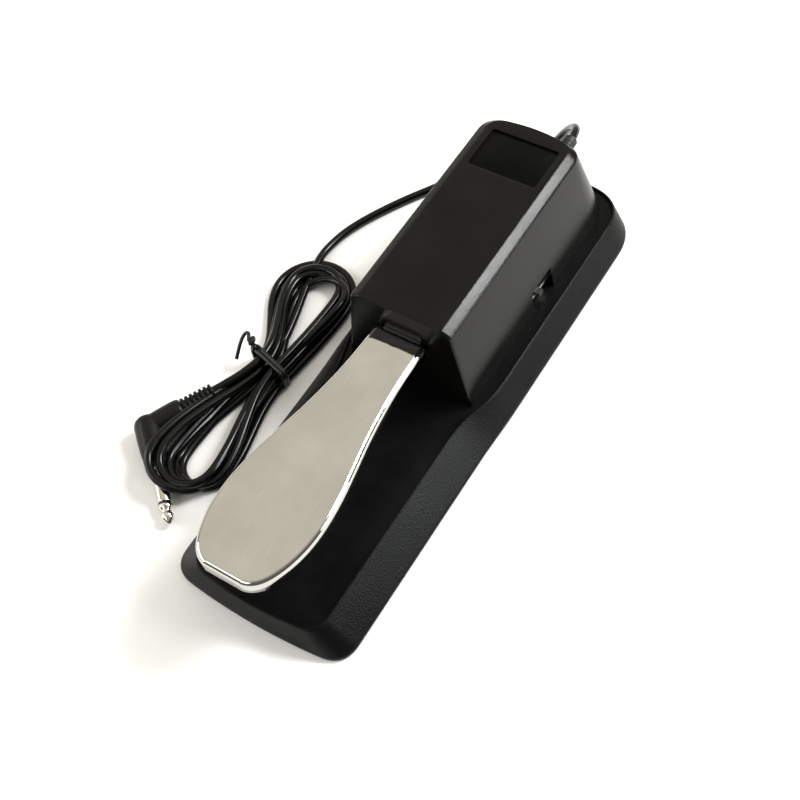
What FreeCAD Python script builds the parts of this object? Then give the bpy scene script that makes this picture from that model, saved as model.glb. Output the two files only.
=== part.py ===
import FreeCAD, Part
import math
import os
import re
import Sketcher
from FreeCAD import Placement, Rotation, Vector

# A sustain pedal for a keyboard: a weighted tray with a sloping border, a tapered housing that holds the
# lever's pivot, its return spring and a switch, a pressed chrome foot plate, and a thin cord that is
# folded into a tied hank and ends in an angled jack plug.
#
# Frame, in millimetres: +X to the right, +Y to the back (the housing's end), +Z up, and the origin at
# the middle of the sole's underside. The foot plate reaches forward, towards -Y.

SIZES = {
    # the tray and its sole
    "base_length": (263.0, "length of the tray over all"),
    "base_width_front": (87.6, "width of the tray beside the foot plate"),
    "base_width_rear": (89.2, "width of the tray beside the housing"),
    "rim_top": (15.3, "height of the rim above the floor"),
    "rim_inset_front": (12.0, "how far the sloping side runs in, beside the foot plate"),
    "rim_inset_rear": (6.8, "how far the sloping side runs in, beside the housing"),
    "nose_inset": (2.6, "how far the front slope runs in"),
    "tail_inset": (1.6, "how far the rear slope runs in"),
    "front_bow": (3.2, "how far the front edge curves forward"),
    "rear_bow": (2.6, "how far the rear edge curves back"),
    "front_corner": (11.0, "reach of the tray's front corners"),
    "rear_corner": (22.0, "reach of the tray's rear corners"),
    "rim_flat": (1.0, "width of the rim's flat top"),
    "deck_drop": (1.2, "depth of the deck below the rim"),
    "deck_thick": (3.0, "thickness of the deck"),
    "skirt_bottom": (0.8, "height of the tray's lower edge above the floor"),
    "skirt_top": (2.6, "top of the tray's upright lower edge"),
    "waist_start": (-26.6, "where the tray's sides begin to spread"),
    "waist_end": (13.4, "where the tray's sides stop spreading"),
    "sole_thick": (2.0, "thickness of the rubber sole"),
    "sole_inset": (1.4, "how far the sole stands inside the tray's edge"),
    "tray_wall": (10.0, "least width of the solid border around the tray's hollow"),
    "ballast_thick": (2.5, "thickness of the steel ballast plate"),
    "ballast_gap": (2.0, "clearance around the ballast plate"),
    # the housing
    "cover_front": (-6.0, "place of the housing's front wall"),
    "cover_rear_low": (128.0, "place of the housing's rear edge at the deck"),
    "cover_rear_high": (110.4, "place of the housing's rear edge at the shoulder"),
    "cover_half_low": (31.4, "half width of the housing at the deck"),
    "cover_half_high": (24.5, "half width of the housing at the shoulder"),
    "cover_half_top": (20.0, "half width of the housing's flat top"),
    "shoulder_height": (60.3, "height of the housing's shoulder"),
    "cover_top": (62.8, "height of the housing"),
    "cover_wall": (2.5, "wall of the housing"),
    "cover_corner_front": (1.5, "reach of the housing's front corners"),
    "cover_corner_low": (20.0, "reach of the housing's rear corners at the deck"),
    "cover_corner_high": (8.0, "reach of the housing's rear corners at the shoulder"),
    "plate_half": (16.8, "half width of the blank plate's recess"),
    "plate_front": (78.4, "front edge of the blank plate's recess"),
    "plate_length": (23.0, "length of the blank plate's recess"),
    "plate_recess": (1.3, "depth of the blank plate's recess"),
    "plate_thick": (0.5, "thickness of the blank plate"),
    "plate_gap": (0.3, "clearance around the blank plate"),
    "window_front": (51.4, "front edge of the switch window"),
    "window_length": (17.0, "length of the switch window"),
    "window_top": (26.5, "top of the switch window"),
    # the housing's screws
    "boss_x": (24.5, "sideways place of the housing's screws"),
    "boss_front": (7.0, "place of the front pair of screws"),
    "boss_rear": (98.0, "place of the rear pair of screws"),
    "boss_radius": (4.5, "radius of the housing's screw bosses"),
    "boss_top": (26.0, "top of the housing's screw bosses"),
    "screw_radius": (1.5, "radius of a screw"),
    "screw_head_radius": (2.8, "radius of a screw's head"),
    "screw_head": (1.6, "height of a screw's head"),
    "screw_clear": (0.2, "clearance around a screw or its head"),
    "tray_boss_radius": (5.5, "radius of the tray's screw bosses"),
    # the lever and its pivot
    "pivot_y": (40.0, "place of the lever's pivot"),
    "pivot_z": (37.0, "height of the lever's pivot"),
    "lever_tilt": (1.6, "rise of the lever towards the front, in degrees"),
    "plate_over_pivot": (11.3, "height of the foot plate's face above the pivot, square to it"),
    "foot_front": (133.8, "reach of the foot plate in front of the origin"),
    "foot_rear_gap": (0.9, "gap between the foot plate and the housing"),
    "foot_half": (23.3, "half of the foot plate's greatest width"),
    "foot_neck_half": (12.9, "half width of the foot plate's neck"),
    "foot_nose_half": (9.0, "half width of the foot plate's straight nose"),
    "foot_wall": (1.6, "thickness of the foot plate's sheet"),
    "foot_depth": (7.0, "depth of the foot plate with its turned-down edge"),
    "foot_round": (2.6, "radius of the foot plate's rolled edge"),
    "arm_half": (9.0, "half width of the lever arm"),
    "arm_thick": (2.5, "thickness of the lever arm"),
    "arm_reach": (78.0, "reach of the lever arm in front of the pivot"),
    "arm_tail": (34.0, "reach of the lever arm behind the pivot"),
    "ear_reach": (7.0, "half length of the arm's ears"),
    "ear_drop": (6.0, "depth of the arm's ears below the pivot"),
    "shaft_radius": (3.0, "radius of the pivot shaft"),
    "running_clear": (0.04, "radial clearance of a running fit"),
    "bushing_wall": (1.0, "wall of a bushing"),
    "bushing_flange": (1.6, "thickness and extra radius of a bushing's flange"),
    "side_clear": (0.4, "side clearance of the lever in its bracket"),
    "bracket_thick": (2.0, "sheet of the pivot bracket"),
    "bracket_reach": (7.0, "half length of the bracket's uprights"),
    "bracket_foot": (11.0, "half length of the bracket's foot"),
    "bracket_top": (6.5, "height of the bracket above the pivot"),
    "clip_thick": (0.8, "thickness of a shaft clip"),
    "clip_groove": (0.5, "depth of a shaft clip's groove"),
    "clip_radius": (5.0, "radius of a shaft clip"),
    "shaft_end": (1.2, "length of the shaft past its clip"),
    "slot_clear": (0.7, "clearance around the lever arm in the front wall"),
    "lever_travel": (6.5, "travel of the lever, in degrees"),
    # the spring and the stops
    "spring_y": (14.0, "place of the return spring"),
    "spring_radius": (5.0, "mean radius of the return spring"),
    "spring_wire": (0.65, "radius of the spring's wire"),
    "spring_turns": (7.0, "turns of the return spring"),
    "cup_radius": (8.0, "radius of the spring cup"),
    "cup_height": (3.0, "height of the spring cup"),
    "cup_floor": (1.2, "floor of the spring cup"),
    "stud_radius": (3.6, "radius of the spring's stud on the arm"),
    "stud_length": (4.0, "length of the spring's stud"),
    "pad_half": (6.0, "half width of the stop pads"),
    "pad_length": (8.0, "length of the stop pads"),
    "pad_thick": (3.0, "thickness of the stop pads"),
    "rest_pad_y": (30.0, "place of the rest pad behind the pivot"),
    "stop_pad_y": (38.0, "place of the lower stop pad in front of the pivot"),
    "pad_clear": (0.2, "gap between the arm and a stop pad"),
    # the switch that the lever works
    "tab_y": (16.0, "place of the actuator tab behind the pivot"),
    "tab_half": (3.0, "half width of the actuator tab"),
    "bracket_spot_x": (7.5, "bracket screws from the middle, across"),
    "bracket_spot_y": (8.0, "bracket screws from the pivot, along"),
    "stop_lag": (0.15, "lag of the stop pad below the lever at its limit"),
    "rib_thick": (2.4, "rib the lever switch is screwed to"),
    "post_radius": (2.6, "radius of the board's posts"),
    "clip_grip": (0.4, "narrowing of a clip's mouth, on each side"),
    "foot_rear_corner": (3.5, "corners of the foot plate's rear end"),
    "rivet_inset": (8.0, "first rivet from the arm's front end"),
    "rivet_step": (16.0, "distance between the arm's rivets"),
    "rivet_radius": (2.0, "shank of an arm rivet"),
    "rivet_head": (3.6, "radius of an arm rivet's head"),
    "rivet_rise": (1.2, "height of an arm rivet's head"),
    "rivet_edge": (0.4, "bevel of a rivet's head"),
    "tab_rivet_radius": (1.5, "shank of the tab's rivet"),
    "tab_rivet_head": (2.6, "radius of the tab rivet's head"),
    "tab_rivet_rise": (1.0, "height of the tab rivet's head"),
    "cup_wall": (1.5, "wall of the spring cup"),
    "terminal_reach": (5.0, "length of a switch terminal"),
    "terminal_wide": (1.6, "width of a switch terminal"),
    "terminal_thick": (0.5, "sheet of a switch terminal"),
    "terminal_rise": (1.2, "lowest terminal above the deck"),
    "terminal_step": (3.2, "distance between terminals"),
    "small_rise": (1.2, "height of a small screw's head"),
    "tab_thick": (1.5, "sheet of the actuator tab"),
    "tab_length": (9.2, "length of the actuator tab's top"),
    "tab_rivet_y": (4.8, "place of the tab's rivet behind the tab's leg"),
    "tab_lift": (0.5, "rise of the tab's foot that the lever's tilt needs"),
    "switch_height": (10.2, "height of the switch"),
    "switch_depth": (6.5, "depth of the switch"),
    "switch_left": (15.0, "reach of the switch to the left of its plunger"),
    "switch_right": (5.0, "reach of the switch to the right of its plunger"),
    "plunger_radius": (1.5, "radius of the switch's plunger"),
    "plunger_up": (1.8, "height of the plunger above the switch at rest"),
    "plunger_in": (4.0, "length of the plunger inside the switch"),
    "plunger_clear": (0.3, "gap between the plunger and the tab"),
    "small_screw": (1.1, "radius of a small screw"),
    "small_head": (2.0, "radius of a small screw's head"),
    # the polarity switch and its board
    "board_left": (14.5, "left edge of the circuit board"),
    "board_right": (27.0, "right edge of the circuit board"),
    "board_front": (46.0, "front edge of the circuit board"),
    "board_length": (28.0, "length of the circuit board"),
    "board_thick": (1.6, "thickness of the circuit board"),
    "board_lift": (1.5, "height of the circuit board above the deck"),
    "slide_length": (16.0, "length of the polarity switch"),
    "slide_depth": (5.4, "depth of the polarity switch"),
    "slide_height": (5.6, "height of the polarity switch"),
    "frame_sheet": (0.6, "sheet of the polarity switch's frame"),
    "knob_half": (1.6, "half length of the polarity knob"),
    "knob_height": (2.4, "height of the polarity knob"),
    "knob_reach": (3.4, "reach of the knob past the frame"),
    "knob_travel": (3.0, "travel of the polarity knob"),
    "knob_clear": (0.2, "clearance around the polarity knob"),
    # the cord
    "cord_radius": (2.0, "radius of the cord"),
    "gland_x": (13.5, "sideways place of the cord's outlet"),
    "gland_z": (54.0, "height of the cord's outlet"),
    "gland_end": (118.0, "outer end of the strain relief"),
    "gland_inner": (105.0, "inner end of the strain relief"),
    "gland_flange": (1.5, "thickness of the strain relief's flange"),
    "gland_radius": (4.0, "radius of the strain relief"),
    "gland_tip": (3.0, "radius of the strain relief's outer end"),
    "gland_flange_radius": (5.0, "radius of the strain relief's flange"),
    "wire_radius": (0.6, "radius of an inner wire"),
    "clamp_x": (16.5, "sideways place of the cord clamp"),
    "clamp_y": (81.5, "place of the cord clamp"),
    "clamp_half": (7.5, "half width of the cord clamp"),
    "clamp_length": (5.0, "length of the cord clamp"),
    "clamp_height": (6.4, "height of the cord clamp"),
    "hank_height": (12.0, "height of the folded cord"),
    "tie_half": (10.6, "half width of the tie's loop"),
    "tie_height": (13.4, "height of the tie's loop"),
    "tie_wire": (1.0, "thickness of the tie"),
    "tie_width": (2.4, "width of the tie"),
    # the plug
    "plug_radius": (3.175, "radius of the plug's contact"),
    "plug_tip_length": (9.6, "length of the plug's tip"),
    "plug_ring_length": (1.0, "length of the plug's insulator"),
    "plug_ring_drop": (0.4, "drop of the insulator below the contact"),
    "plug_sleeve_length": (18.6, "length of the plug's sleeve"),
    "plug_body_radius": (6.6, "radius of the plug's body"),
    "plug_body_length": (19.8, "length of the plug's body"),
    "plug_cap": (5.5, "length of the body beyond the cord's axis"),
    "plug_neck_radius": (5.6, "radius of the body's side neck"),
    "plug_neck_length": (17.5, "length of the body's side neck"),
    "boot_radius": (4.5, "radius of the ribbed boot"),
    "boot_tip_radius": (3.6, "radius of the ribbed boot at its thin end"),
}

# The plug's elbow, the end of its tip and the thin end of its boot, where they lie.
PLUG_ELBOW = (-93.0, -80.0, 6.9)
PLUG_TIP_END = (-57.2, -112.8, 3.4)
BOOT_END = (-77.6, -50.8, 9.6)

# The cord from its outlet, down behind the housing, round the tray's corner and along the floor.
CORD_ROUTE = [
    (13.5, 118.0, 54.0),
    (13.5, 128.5, 54.0),
    (15.5, 139.0, 45.5),
    (13.0, 146.5, 30.5),
    (3.0, 150.0, 15.0),
    (-13.0, 149.5, 2.1),
    (-31.0, 144.0, 2.1),
    (-46.5, 131.0, 2.1),
    (-50.5, 110.0, 2.1),
    (-65.6, 88.2, 2.1),
    (-78.5, 63.5, 2.1),
    (-82.0, 46.0, 2.1),
    (-80.5, 36.5, 3.2),
]

# The outline of the folded cord on the floor, anticlockwise from its top.
HANK_OUTLINE = [
    (-76.0, 40.0),
    (-88.0, 33.0),
    (-92.0, 16.0),
    (-86.0, -4.0),
    (-73.5, -24.0),
    (-71.0, -34.0),
    (-74.0, -54.0),
    (-79.0, -70.0),
    (-74.0, -86.0),
    (-62.0, -97.0),
    (-51.5, -94.0),
    (-49.5, -74.0),
    (-51.5, -50.0),
    (-55.5, -30.0),
    (-52.5, -12.0),
    (-51.0, 10.0),
    (-56.0, 28.0),
]
TIE_PLACE = (-64.0, -27.0)
TIE_TURN = -16.0

# The curve of the foot plate's edge, from its nose to its neck, by its control points: distance behind
# the nose, and half width as a share of the way from the neck's to the greatest.
FOOT_EDGE = [(1.2, 0.14), (9.0, 0.66), (27.0, 1.08), (50.0, 0.93), (75.0, 0.38), (98.0, 0.08), (112.0, 0.0)]

# The share of the shorter run beside a bend that the bend's arc takes.
CORD_BEND = 0.45
MAX_LABEL = 60
WORD = r"[a-z][a-z_]*[a-z]"

doc = FreeCAD.newDocument("sustain_pedal")
sheet = doc.addObject("Spreadsheet::Sheet", "sizes")
for row, (alias, (value, meaning)) in enumerate(SIZES.items(), start=1):
    sheet.set(f"A{row}", meaning)
    sheet.set(f"B{row}", str(value))
    sheet.setAlias(f"B{row}", alias)
doc.recompute()

nodes = []


def size(alias):
    """The number that the sheet holds under this alias."""
    return float(sheet.get(alias))


def formula(text):
    """An expression of the document, from a formula whose words are the sheet's aliases."""
    return re.sub(WORD, lambda word: "sizes." + word[0] if word[0] in SIZES else word[0], str(text))


def worked_out(text):
    """The value of such a formula now."""
    names = {alias: size(alias) for alias in SIZES}
    total = FreeCAD.Units.Quantity(re.sub(WORD, lambda word: f"({names[word[0]]})", str(text)))
    return float(total.Value)


def place(piece, x, y, z, rotation=None):
    """Puts a piece at a place that follows the sheet, turned as given."""
    if rotation is not None:
        piece.Placement = Placement(Vector(), rotation)
    for axis, text in zip("xyz", (x, y, z)):
        piece.setExpression(f"Placement.Base.{axis}", formula(text))
    return piece


def keep(piece, label):
    """Makes a piece one of the pedal's nodes, under the name of its file."""
    piece.Label = label
    nodes.append(piece)
    return piece


def box(name, x, y, z, length, width, height):
    """A box from its lowest corner and its three sides."""
    piece = doc.addObject("Part::Box", name)
    piece.setExpression("Length", formula(length))
    piece.setExpression("Width", formula(width))
    piece.setExpression("Height", formula(height))
    return place(piece, x, y, z)


UPRIGHT = Rotation()
ALONG_X = Rotation(Vector(0, 1, 0), 90)
ALONG_Y = Rotation(Vector(1, 0, 0), -90)


def rod(name, x, y, z, radius, length, rotation=UPRIGHT):
    """A cylinder from the middle of its first end."""
    piece = doc.addObject("Part::Cylinder", name)
    piece.setExpression("Radius", formula(radius))
    piece.setExpression("Height", formula(length))
    return place(piece, x, y, z, rotation)


def fuse(name, *pieces):
    """One solid from several that meet."""
    joined = doc.addObject("Part::MultiFuse", name)
    joined.Shapes = list(pieces)
    joined.Refine = True
    return joined


def cut(name, base, *tools):
    """A piece less some others."""
    piece = doc.addObject("Part::Cut", name)
    piece.Base = base
    piece.Tool = tools[0] if len(tools) == 1 else fuse(f"{name}_tools", *tools)
    piece.Refine = True
    return piece


def group(name, *pieces):
    """Several separate solids in one node."""
    set_of_pieces = doc.addObject("Part::Compound", name)
    set_of_pieces.Links = list(pieces)
    return set_of_pieces


def shaped(name, shape):
    """A piece whose shape is worked out here."""
    piece = doc.addObject("Part::Feature", name)
    piece.Shape = shape
    return piece


def origin_plane(body, role):
    """One of a body's own origin planes."""
    return next(feature for feature in body.Origin.OriginFeatures if feature.Role == role)


def drawn(body, name, role, corners):
    """A closed sketch of straight lines on a body's plane. Each corner is a pair of formulas, and
    neither is ever negative."""
    sketch = body.newObject("Sketcher::SketchObject", name)
    sketch.AttachmentSupport = [(origin_plane(body, role), "")]
    sketch.MapMode = "FlatFace"
    points = [Vector(worked_out(u), worked_out(v), 0) for u, v in corners]
    for start, end in zip(points, points[1:] + points[:1]):
        sketch.addGeometry(Part.LineSegment(start, end), False)
    for index in range(len(points)):
        sketch.addConstraint(Sketcher.Constraint("Coincident", index, 2, (index + 1) % len(points), 1))
    for index, corner in enumerate(corners):
        for kind, axis, text, value in zip(("DistanceX", "DistanceY"), (-2, -1), corner, points[index]):
            if abs(value) < 1e-9:
                sketch.addConstraint(Sketcher.Constraint("PointOnObject", index, 1, axis))
                continue
            number = sketch.addConstraint(Sketcher.Constraint(kind, -1, 1, index, 1, value))
            sketch.setExpression(f"Constraints[{number}]", formula(text))
    return sketch


def turned(name, profile):
    """A body turned about its own Z axis from a profile of (radius, height) formulas."""
    body = doc.addObject("PartDesign::Body", name)
    sketch = drawn(body, f"{name}_profile", "XZ_Plane", profile)
    feature = body.newObject("PartDesign::Revolution", f"{name}_turn")
    feature.Profile = sketch
    feature.ReferenceAxis = (sketch, ["V_Axis"])
    feature.Angle = 360
    sketch.Visibility = False
    return body


def plate(name, length, width, height):
    """A body padded up from a rectangle in its own XY plane, with one corner at its origin."""
    body = doc.addObject("PartDesign::Body", name)
    corners = [("0", "0"), (length, "0"), (length, width), ("0", width)]
    sketch = drawn(body, f"{name}_outline", "XY_Plane", corners)
    feature = body.newObject("PartDesign::Pad", f"{name}_pad")
    feature.Profile = sketch
    feature.setExpression("Length", formula(height))
    return body


def screw(name, x, y, z, radius, head_radius, head, length):
    """A pan-head screw whose seat is at the given place and whose shank runs down from it."""
    body = turned(
        name,
        [("0", "0"), (radius, "0"), (radius, length), (head_radius, length),
         (head_radius, f"{length} + {head}"), ("0", f"{length} + {head}")],
    )
    return place(body, x, y, f"{z} - ({length})")


def ring_outline(z, front, rear, bow_front, bow_rear, half_front, half_rear, corner_front, corner_rear):
    """A closed wire at one height: a bowed or straight front and rear, sides that may spread between
    waist_start and waist_end, and four corners. Each corner is one smooth curve that starts and ends
    its reach away from where the edges would meet."""

    def bowed(y, bow, half, corner, forward):
        x = half - corner
        sag = bow * (x / half) ** 2
        slope = 2.0 * bow * x / half**2
        end = y + forward * sag
        return x, end, end + forward * slope * corner

    front_x, front_y, front_pole = bowed(front, bow_front, half_front, corner_front, 1.0)
    rear_x, rear_y, rear_pole = bowed(rear, bow_rear, half_rear, corner_rear, -1.0)
    side_front = front_pole + corner_front
    side_rear = rear_pole - corner_rear
    start = size("waist_start")
    end = size("waist_end")
    middle = 0.5 * (start + end)

    def at(x, y):
        return Vector(x, y, z)

    def curve(*poles):
        bezier = Part.BezierCurve()
        bezier.setPoles(list(poles))
        return bezier.toShape()

    def line(p, q):
        return Part.LineSegment(p, q).toShape()

    def across(x, y, crown, bow):
        if bow == 0:
            return line(at(-x, y), at(x, y))
        return Part.Arc(at(-x, y), at(0, crown), at(x, y)).toShape()

    edges = [across(front_x, front_y, front, bow_front)]
    for side in (1.0, -1.0):
        side_x = side * half_front
        right = [curve(at(side * front_x, front_y), at(side_x, front_pole), at(side_x, side_front))]
        if side_front < start and half_front != half_rear:
            right.append(line(at(side * half_front, side_front), at(side * half_front, start)))
            right.append(
                curve(
                    at(side * half_front, start),
                    at(side * half_front, middle),
                    at(side * half_rear, middle),
                    at(side * half_rear, end),
                )
            )
            right.append(line(at(side * half_rear, end), at(side * half_rear, side_rear)))
        else:
            right.append(line(at(side * half_front, side_front), at(side * half_rear, side_rear)))
        side_x = side * half_rear
        right.append(curve(at(side_x, side_rear), at(side_x, rear_pole), at(side * rear_x, rear_y)))
        edges += right
    edges.append(across(rear_x, rear_y, rear, bow_rear))
    return Part.Wire(Part.__sortEdges__(edges))


def between(*wires):
    """A solid with straight sides from one closed wire to the next."""
    solid = Part.makeLoft(list(wires[:2]), True, True)
    for lower, upper in zip(wires[1:], wires[2:]):
        solid = solid.fuse(Part.makeLoft([lower, upper], True, True))
    return solid.removeSplitter() if len(wires) > 2 else solid


def prism(wire, height):
    """A solid straight up from a closed wire."""
    return Part.Face(wire).extrude(Vector(0, 0, height))


def bend_radii(points):
    """The radius of the arc at each inner point of a route: CORD_BEND of the shorter run beside it,
    over the tangent of half the turn."""
    radii = []
    for before, here, after in zip(points, points[1:], points[2:]):
        incoming = here - before
        outgoing = after - here
        turn = incoming.getAngle(outgoing)
        radii.append(CORD_BEND * min(incoming.Length, outgoing.Length) / math.tan(0.5 * turn))
    return radii


def routed(points, radius):
    """A round tube along straight runs joined by tangent arcs, and the length of its middle line."""
    edges = []
    here = points[0]
    for before, corner, after in zip(points, points[1:], points[2:]):
        incoming = (corner - before).normalize()
        outgoing = (after - corner).normalize()
        reach = CORD_BEND * min((corner - before).Length, (after - corner).Length)
        arc_start = corner - incoming * reach
        arc_end = corner + outgoing * reach
        half_turn = 0.5 * incoming.getAngle(outgoing)
        bisector = (outgoing - incoming).normalize()
        bend = reach / math.tan(half_turn)
        arc_middle = corner + bisector * (bend / math.cos(half_turn) - bend)
        edges.append(Part.LineSegment(here, arc_start).toShape())
        edges.append(Part.Arc(arc_start, arc_middle, arc_end).toShape())
        here = arc_end
    edges.append(Part.LineSegment(here, points[-1]).toShape())
    path = Part.Wire(edges)
    section = Part.Wire(Part.makeCircle(radius, points[0], points[1] - points[0]))
    return path.makePipeShell([section], True, False), path.Length


def tube(name, places, radius_alias):
    """A tube along a route, with its volume compared with its section times its length."""
    points = [Vector(*spot) for spot in places]
    radius = size(radius_alias)
    shape, length = routed(points, radius)
    expected = math.pi * radius**2 * length
    assert abs(shape.Volume / expected - 1.0) < 0.01, f"{name}: the tube's volume is wrong"
    radii = ", ".join(f"{value:.1f}" for value in bend_radii(points))
    print(f"{name}: length {length:.1f}, arc radii {radii}")
    return shaped(name, shape)


# ---------------------------------------------------------------- tray, sole and ballast

deck = "(rim_top - deck_drop)"
deck_level = worked_out("rim_top - deck_drop")
half_length = size("base_length") / 2.0
half_front = size("base_width_front") / 2.0
half_rear = size("base_width_rear") / 2.0


def tray_ring(z, inset_side_front, inset_side_rear, inset_nose, inset_tail, corner_drop):
    """The tray's outline at one height, drawn in by the given amounts."""
    return ring_outline(
        z,
        -half_length + inset_nose,
        half_length - inset_tail,
        size("front_bow"),
        size("rear_bow"),
        half_front - inset_side_front,
        half_rear - inset_side_rear,
        size("front_corner") - corner_drop,
        size("rear_corner") - corner_drop,
    )


skirt_low = tray_ring(size("skirt_bottom"), 0, 0, 0, 0, 0)
skirt_high = tray_ring(size("skirt_top"), 0, 0, 0, 0, 0)
rim_outer = tray_ring(
    size("rim_top"), size("rim_inset_front"), size("rim_inset_rear"), size("nose_inset"), size("tail_inset"),
    3.0,
)
tray_outer = shaped("tray_outer", between(skirt_low, skirt_high, rim_outer))
rim_flat = size("rim_flat")
deck_ring = tray_ring(
    deck_level,
    size("rim_inset_front") + rim_flat,
    size("rim_inset_rear") + rim_flat,
    size("nose_inset") + rim_flat,
    size("tail_inset") + rim_flat,
    4.0,
)
tray_recess = shaped("tray_recess", prism(deck_ring, 2.0 * size("deck_drop")))
sole_inset = size("sole_inset")
sole_ring = tray_ring(0.0, sole_inset, sole_inset, sole_inset, sole_inset, 1.0)
sole_blank = shaped("sole_blank", prism(sole_ring, size("sole_thick")))
hollow_inset = size("tray_wall")
hollow_ring = tray_ring(size("sole_thick"), hollow_inset, hollow_inset, hollow_inset, hollow_inset, 4.0)
hollow_top = deck_level - size("deck_thick")
tray_hollow = shaped("tray_hollow", prism(hollow_ring, hollow_top - size("sole_thick")))

screw_spots = [
    (f"{side} * boss_x", along) for side in (-1, 1) for along in ("boss_front", "boss_rear")
]
bracket_spots = [
    (f"{side} * bracket_spot_x", f"pivot_y + {end} * bracket_spot_y") for side in (-1, 1) for end in (-1, 1)
]
deck_low = f"({deck} - deck_thick)"

tray_bosses = [
    rod(f"tray_boss_{n}", x, y, "sole_thick", "tray_boss_radius", f"{deck_low} - sole_thick + 1")
    for n, (x, y) in enumerate(screw_spots)
]
bracket_bosses = [
    rod(f"bracket_boss_{n}", x, y, f"{deck_low} - 4", "screw_radius + 1.8", "5")
    for n, (x, y) in enumerate(bracket_spots)
]
arm_under = "(plate_over_pivot - foot_wall - arm_thick)"
pad_drop = f"{math.tan(math.radians(size('lever_tilt'))):.5f}"
pad_swing = f"{math.radians(size('lever_travel')):.5f}"
rest_top = f"(pivot_z + {arm_under} - rest_pad_y * {pad_drop} - pad_clear)"
stop_top = (
    f"(pivot_z + {arm_under} + stop_pad_y * {pad_drop} - stop_pad_y * {pad_swing} - pad_clear - stop_lag)"
)
rest_y = "(pivot_y + rest_pad_y)"
stop_y = "(pivot_y - stop_pad_y)"
rest_post = box(
    "rest_post", "-pad_half", f"{rest_y} - pad_length / 2", f"{deck} - 1", "2 * pad_half", "pad_length",
    f"{rest_top} - pad_thick - {deck} + 1",
)
stop_post = box(
    "stop_post", "-pad_half", f"{stop_y} - pad_length / 2", f"{deck} - 1", "2 * pad_half", "pad_length",
    f"{stop_top} - pad_thick - {deck} + 1",
)
tab_place = "(pivot_y + tab_y)"
switch_rib = box(
    "switch_rib", "-switch_left", f"{tab_place} + switch_depth / 2", f"{deck} - 1",
    "switch_left + switch_right", "rib_thick", "switch_height + 1",
)
board_spots = [("board_left + 3", "board_front + 3"), ("board_left + 3", "board_front + board_length - 3")]
board_posts = [
    rod(f"board_post_{n}", x, y, f"{deck} - 1", "post_radius", "board_lift + 1")
    for n, (x, y) in enumerate(board_spots)
]
tray_solid = fuse(
    "tray_solid",
    cut("tray_shell", tray_outer, tray_recess, sole_blank, tray_hollow),
    rest_post,
    stop_post,
    switch_rib,
    *tray_bosses,
    *bracket_bosses,
    *board_posts,
)
seat = "(sole_thick + screw_head + 0.6)"
screw_holes = [
    rod(f"screw_hole_{n}", x, y, "0", "screw_radius + screw_clear", "rim_top + 2")
    for n, (x, y) in enumerate(screw_spots)
]
head_holes = [
    rod(f"head_hole_{n}", x, y, "0", "screw_head_radius + screw_clear", seat)
    for n, (x, y) in enumerate(screw_spots)
]
bracket_holes = [
    rod(f"bracket_pilot_{n}", x, y, f"{deck} - 6", "screw_radius", "8")
    for n, (x, y) in enumerate(bracket_spots)
]
board_holes = [
    rod(f"board_pilot_{n}", x, y, f"{deck} - 2", "small_screw", "board_lift + 4")
    for n, (x, y) in enumerate(board_spots)
]
switch_screw_x = ["-switch_left + 3.5", "-switch_left + 10.5"]
switch_screw_z = f"({deck} + 3.2)"
rib_holes = [
    rod(f"rib_pilot_{n}", x, tab_place, switch_screw_z, "small_screw", "8", ALONG_Y)
    for n, x in enumerate(switch_screw_x)
]
clamp_spots = [("clamp_x - clamp_half + 2.3", "clamp_y"), ("clamp_x + clamp_half - 2.3", "clamp_y")]
clamp_holes = [
    rod(f"clamp_pilot_{n}", x, y, f"{deck} - 2.4", "small_screw", "4") for n, (x, y) in enumerate(clamp_spots)
]
keep(
    cut(
        "base_tray_solid", tray_solid,
        *screw_holes, *head_holes, *bracket_holes, *board_holes, *rib_holes, *clamp_holes,
    ),
    "base_tray",
)
sole_holes = [
    rod(f"sole_hole_{n}", x, y, "-1", "screw_head_radius + 1", "sole_thick + 2")
    for n, (x, y) in enumerate(screw_spots)
]
keep(cut("sole_solid", sole_blank, *sole_holes), "rubber_sole")

ballast_inset = hollow_inset + size("ballast_gap")
ballast_ring = tray_ring(size("sole_thick"), ballast_inset, ballast_inset, ballast_inset, ballast_inset, 5.0)
ballast_blank = shaped("ballast_blank", prism(ballast_ring, size("ballast_thick")))
ballast_holes = [
    rod(f"ballast_hole_{n}", x, y, "0", "tray_boss_radius + ballast_gap / 2", "20")
    for n, (x, y) in enumerate(screw_spots)
]
keep(cut("ballast_solid", ballast_blank, *ballast_holes), "ballast_plate")

keep(
    group(
        "cover_screw_set",
        *[
            place(
                turned(
                    f"cover_screw_{n}",
                    [("0", "0"), ("screw_head_radius", "0"), ("screw_head_radius", "screw_head"),
                     ("screw_radius", "screw_head"), ("screw_radius", "screw_head + boss_top - 8"),
                     ("0", "screw_head + boss_top - 7")],
                ),
                x, y, f"{seat} - screw_head",
            )
            for n, (x, y) in enumerate(screw_spots)
        ],
    ),
    "cover_screws",
)

# ---------------------------------------------------------------- housing


def cover_ring(z, half, rear, corner, inset):
    """The housing's outline at one height, drawn in by a wall's thickness where asked."""
    return ring_outline(
        z,
        size("cover_front") + inset,
        rear - inset,
        0,
        size("rear_bow"),
        half - inset,
        half - inset,
        max(size("cover_corner_front") - inset, 0.6),
        max(corner - inset, 2.0),
    )


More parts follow.
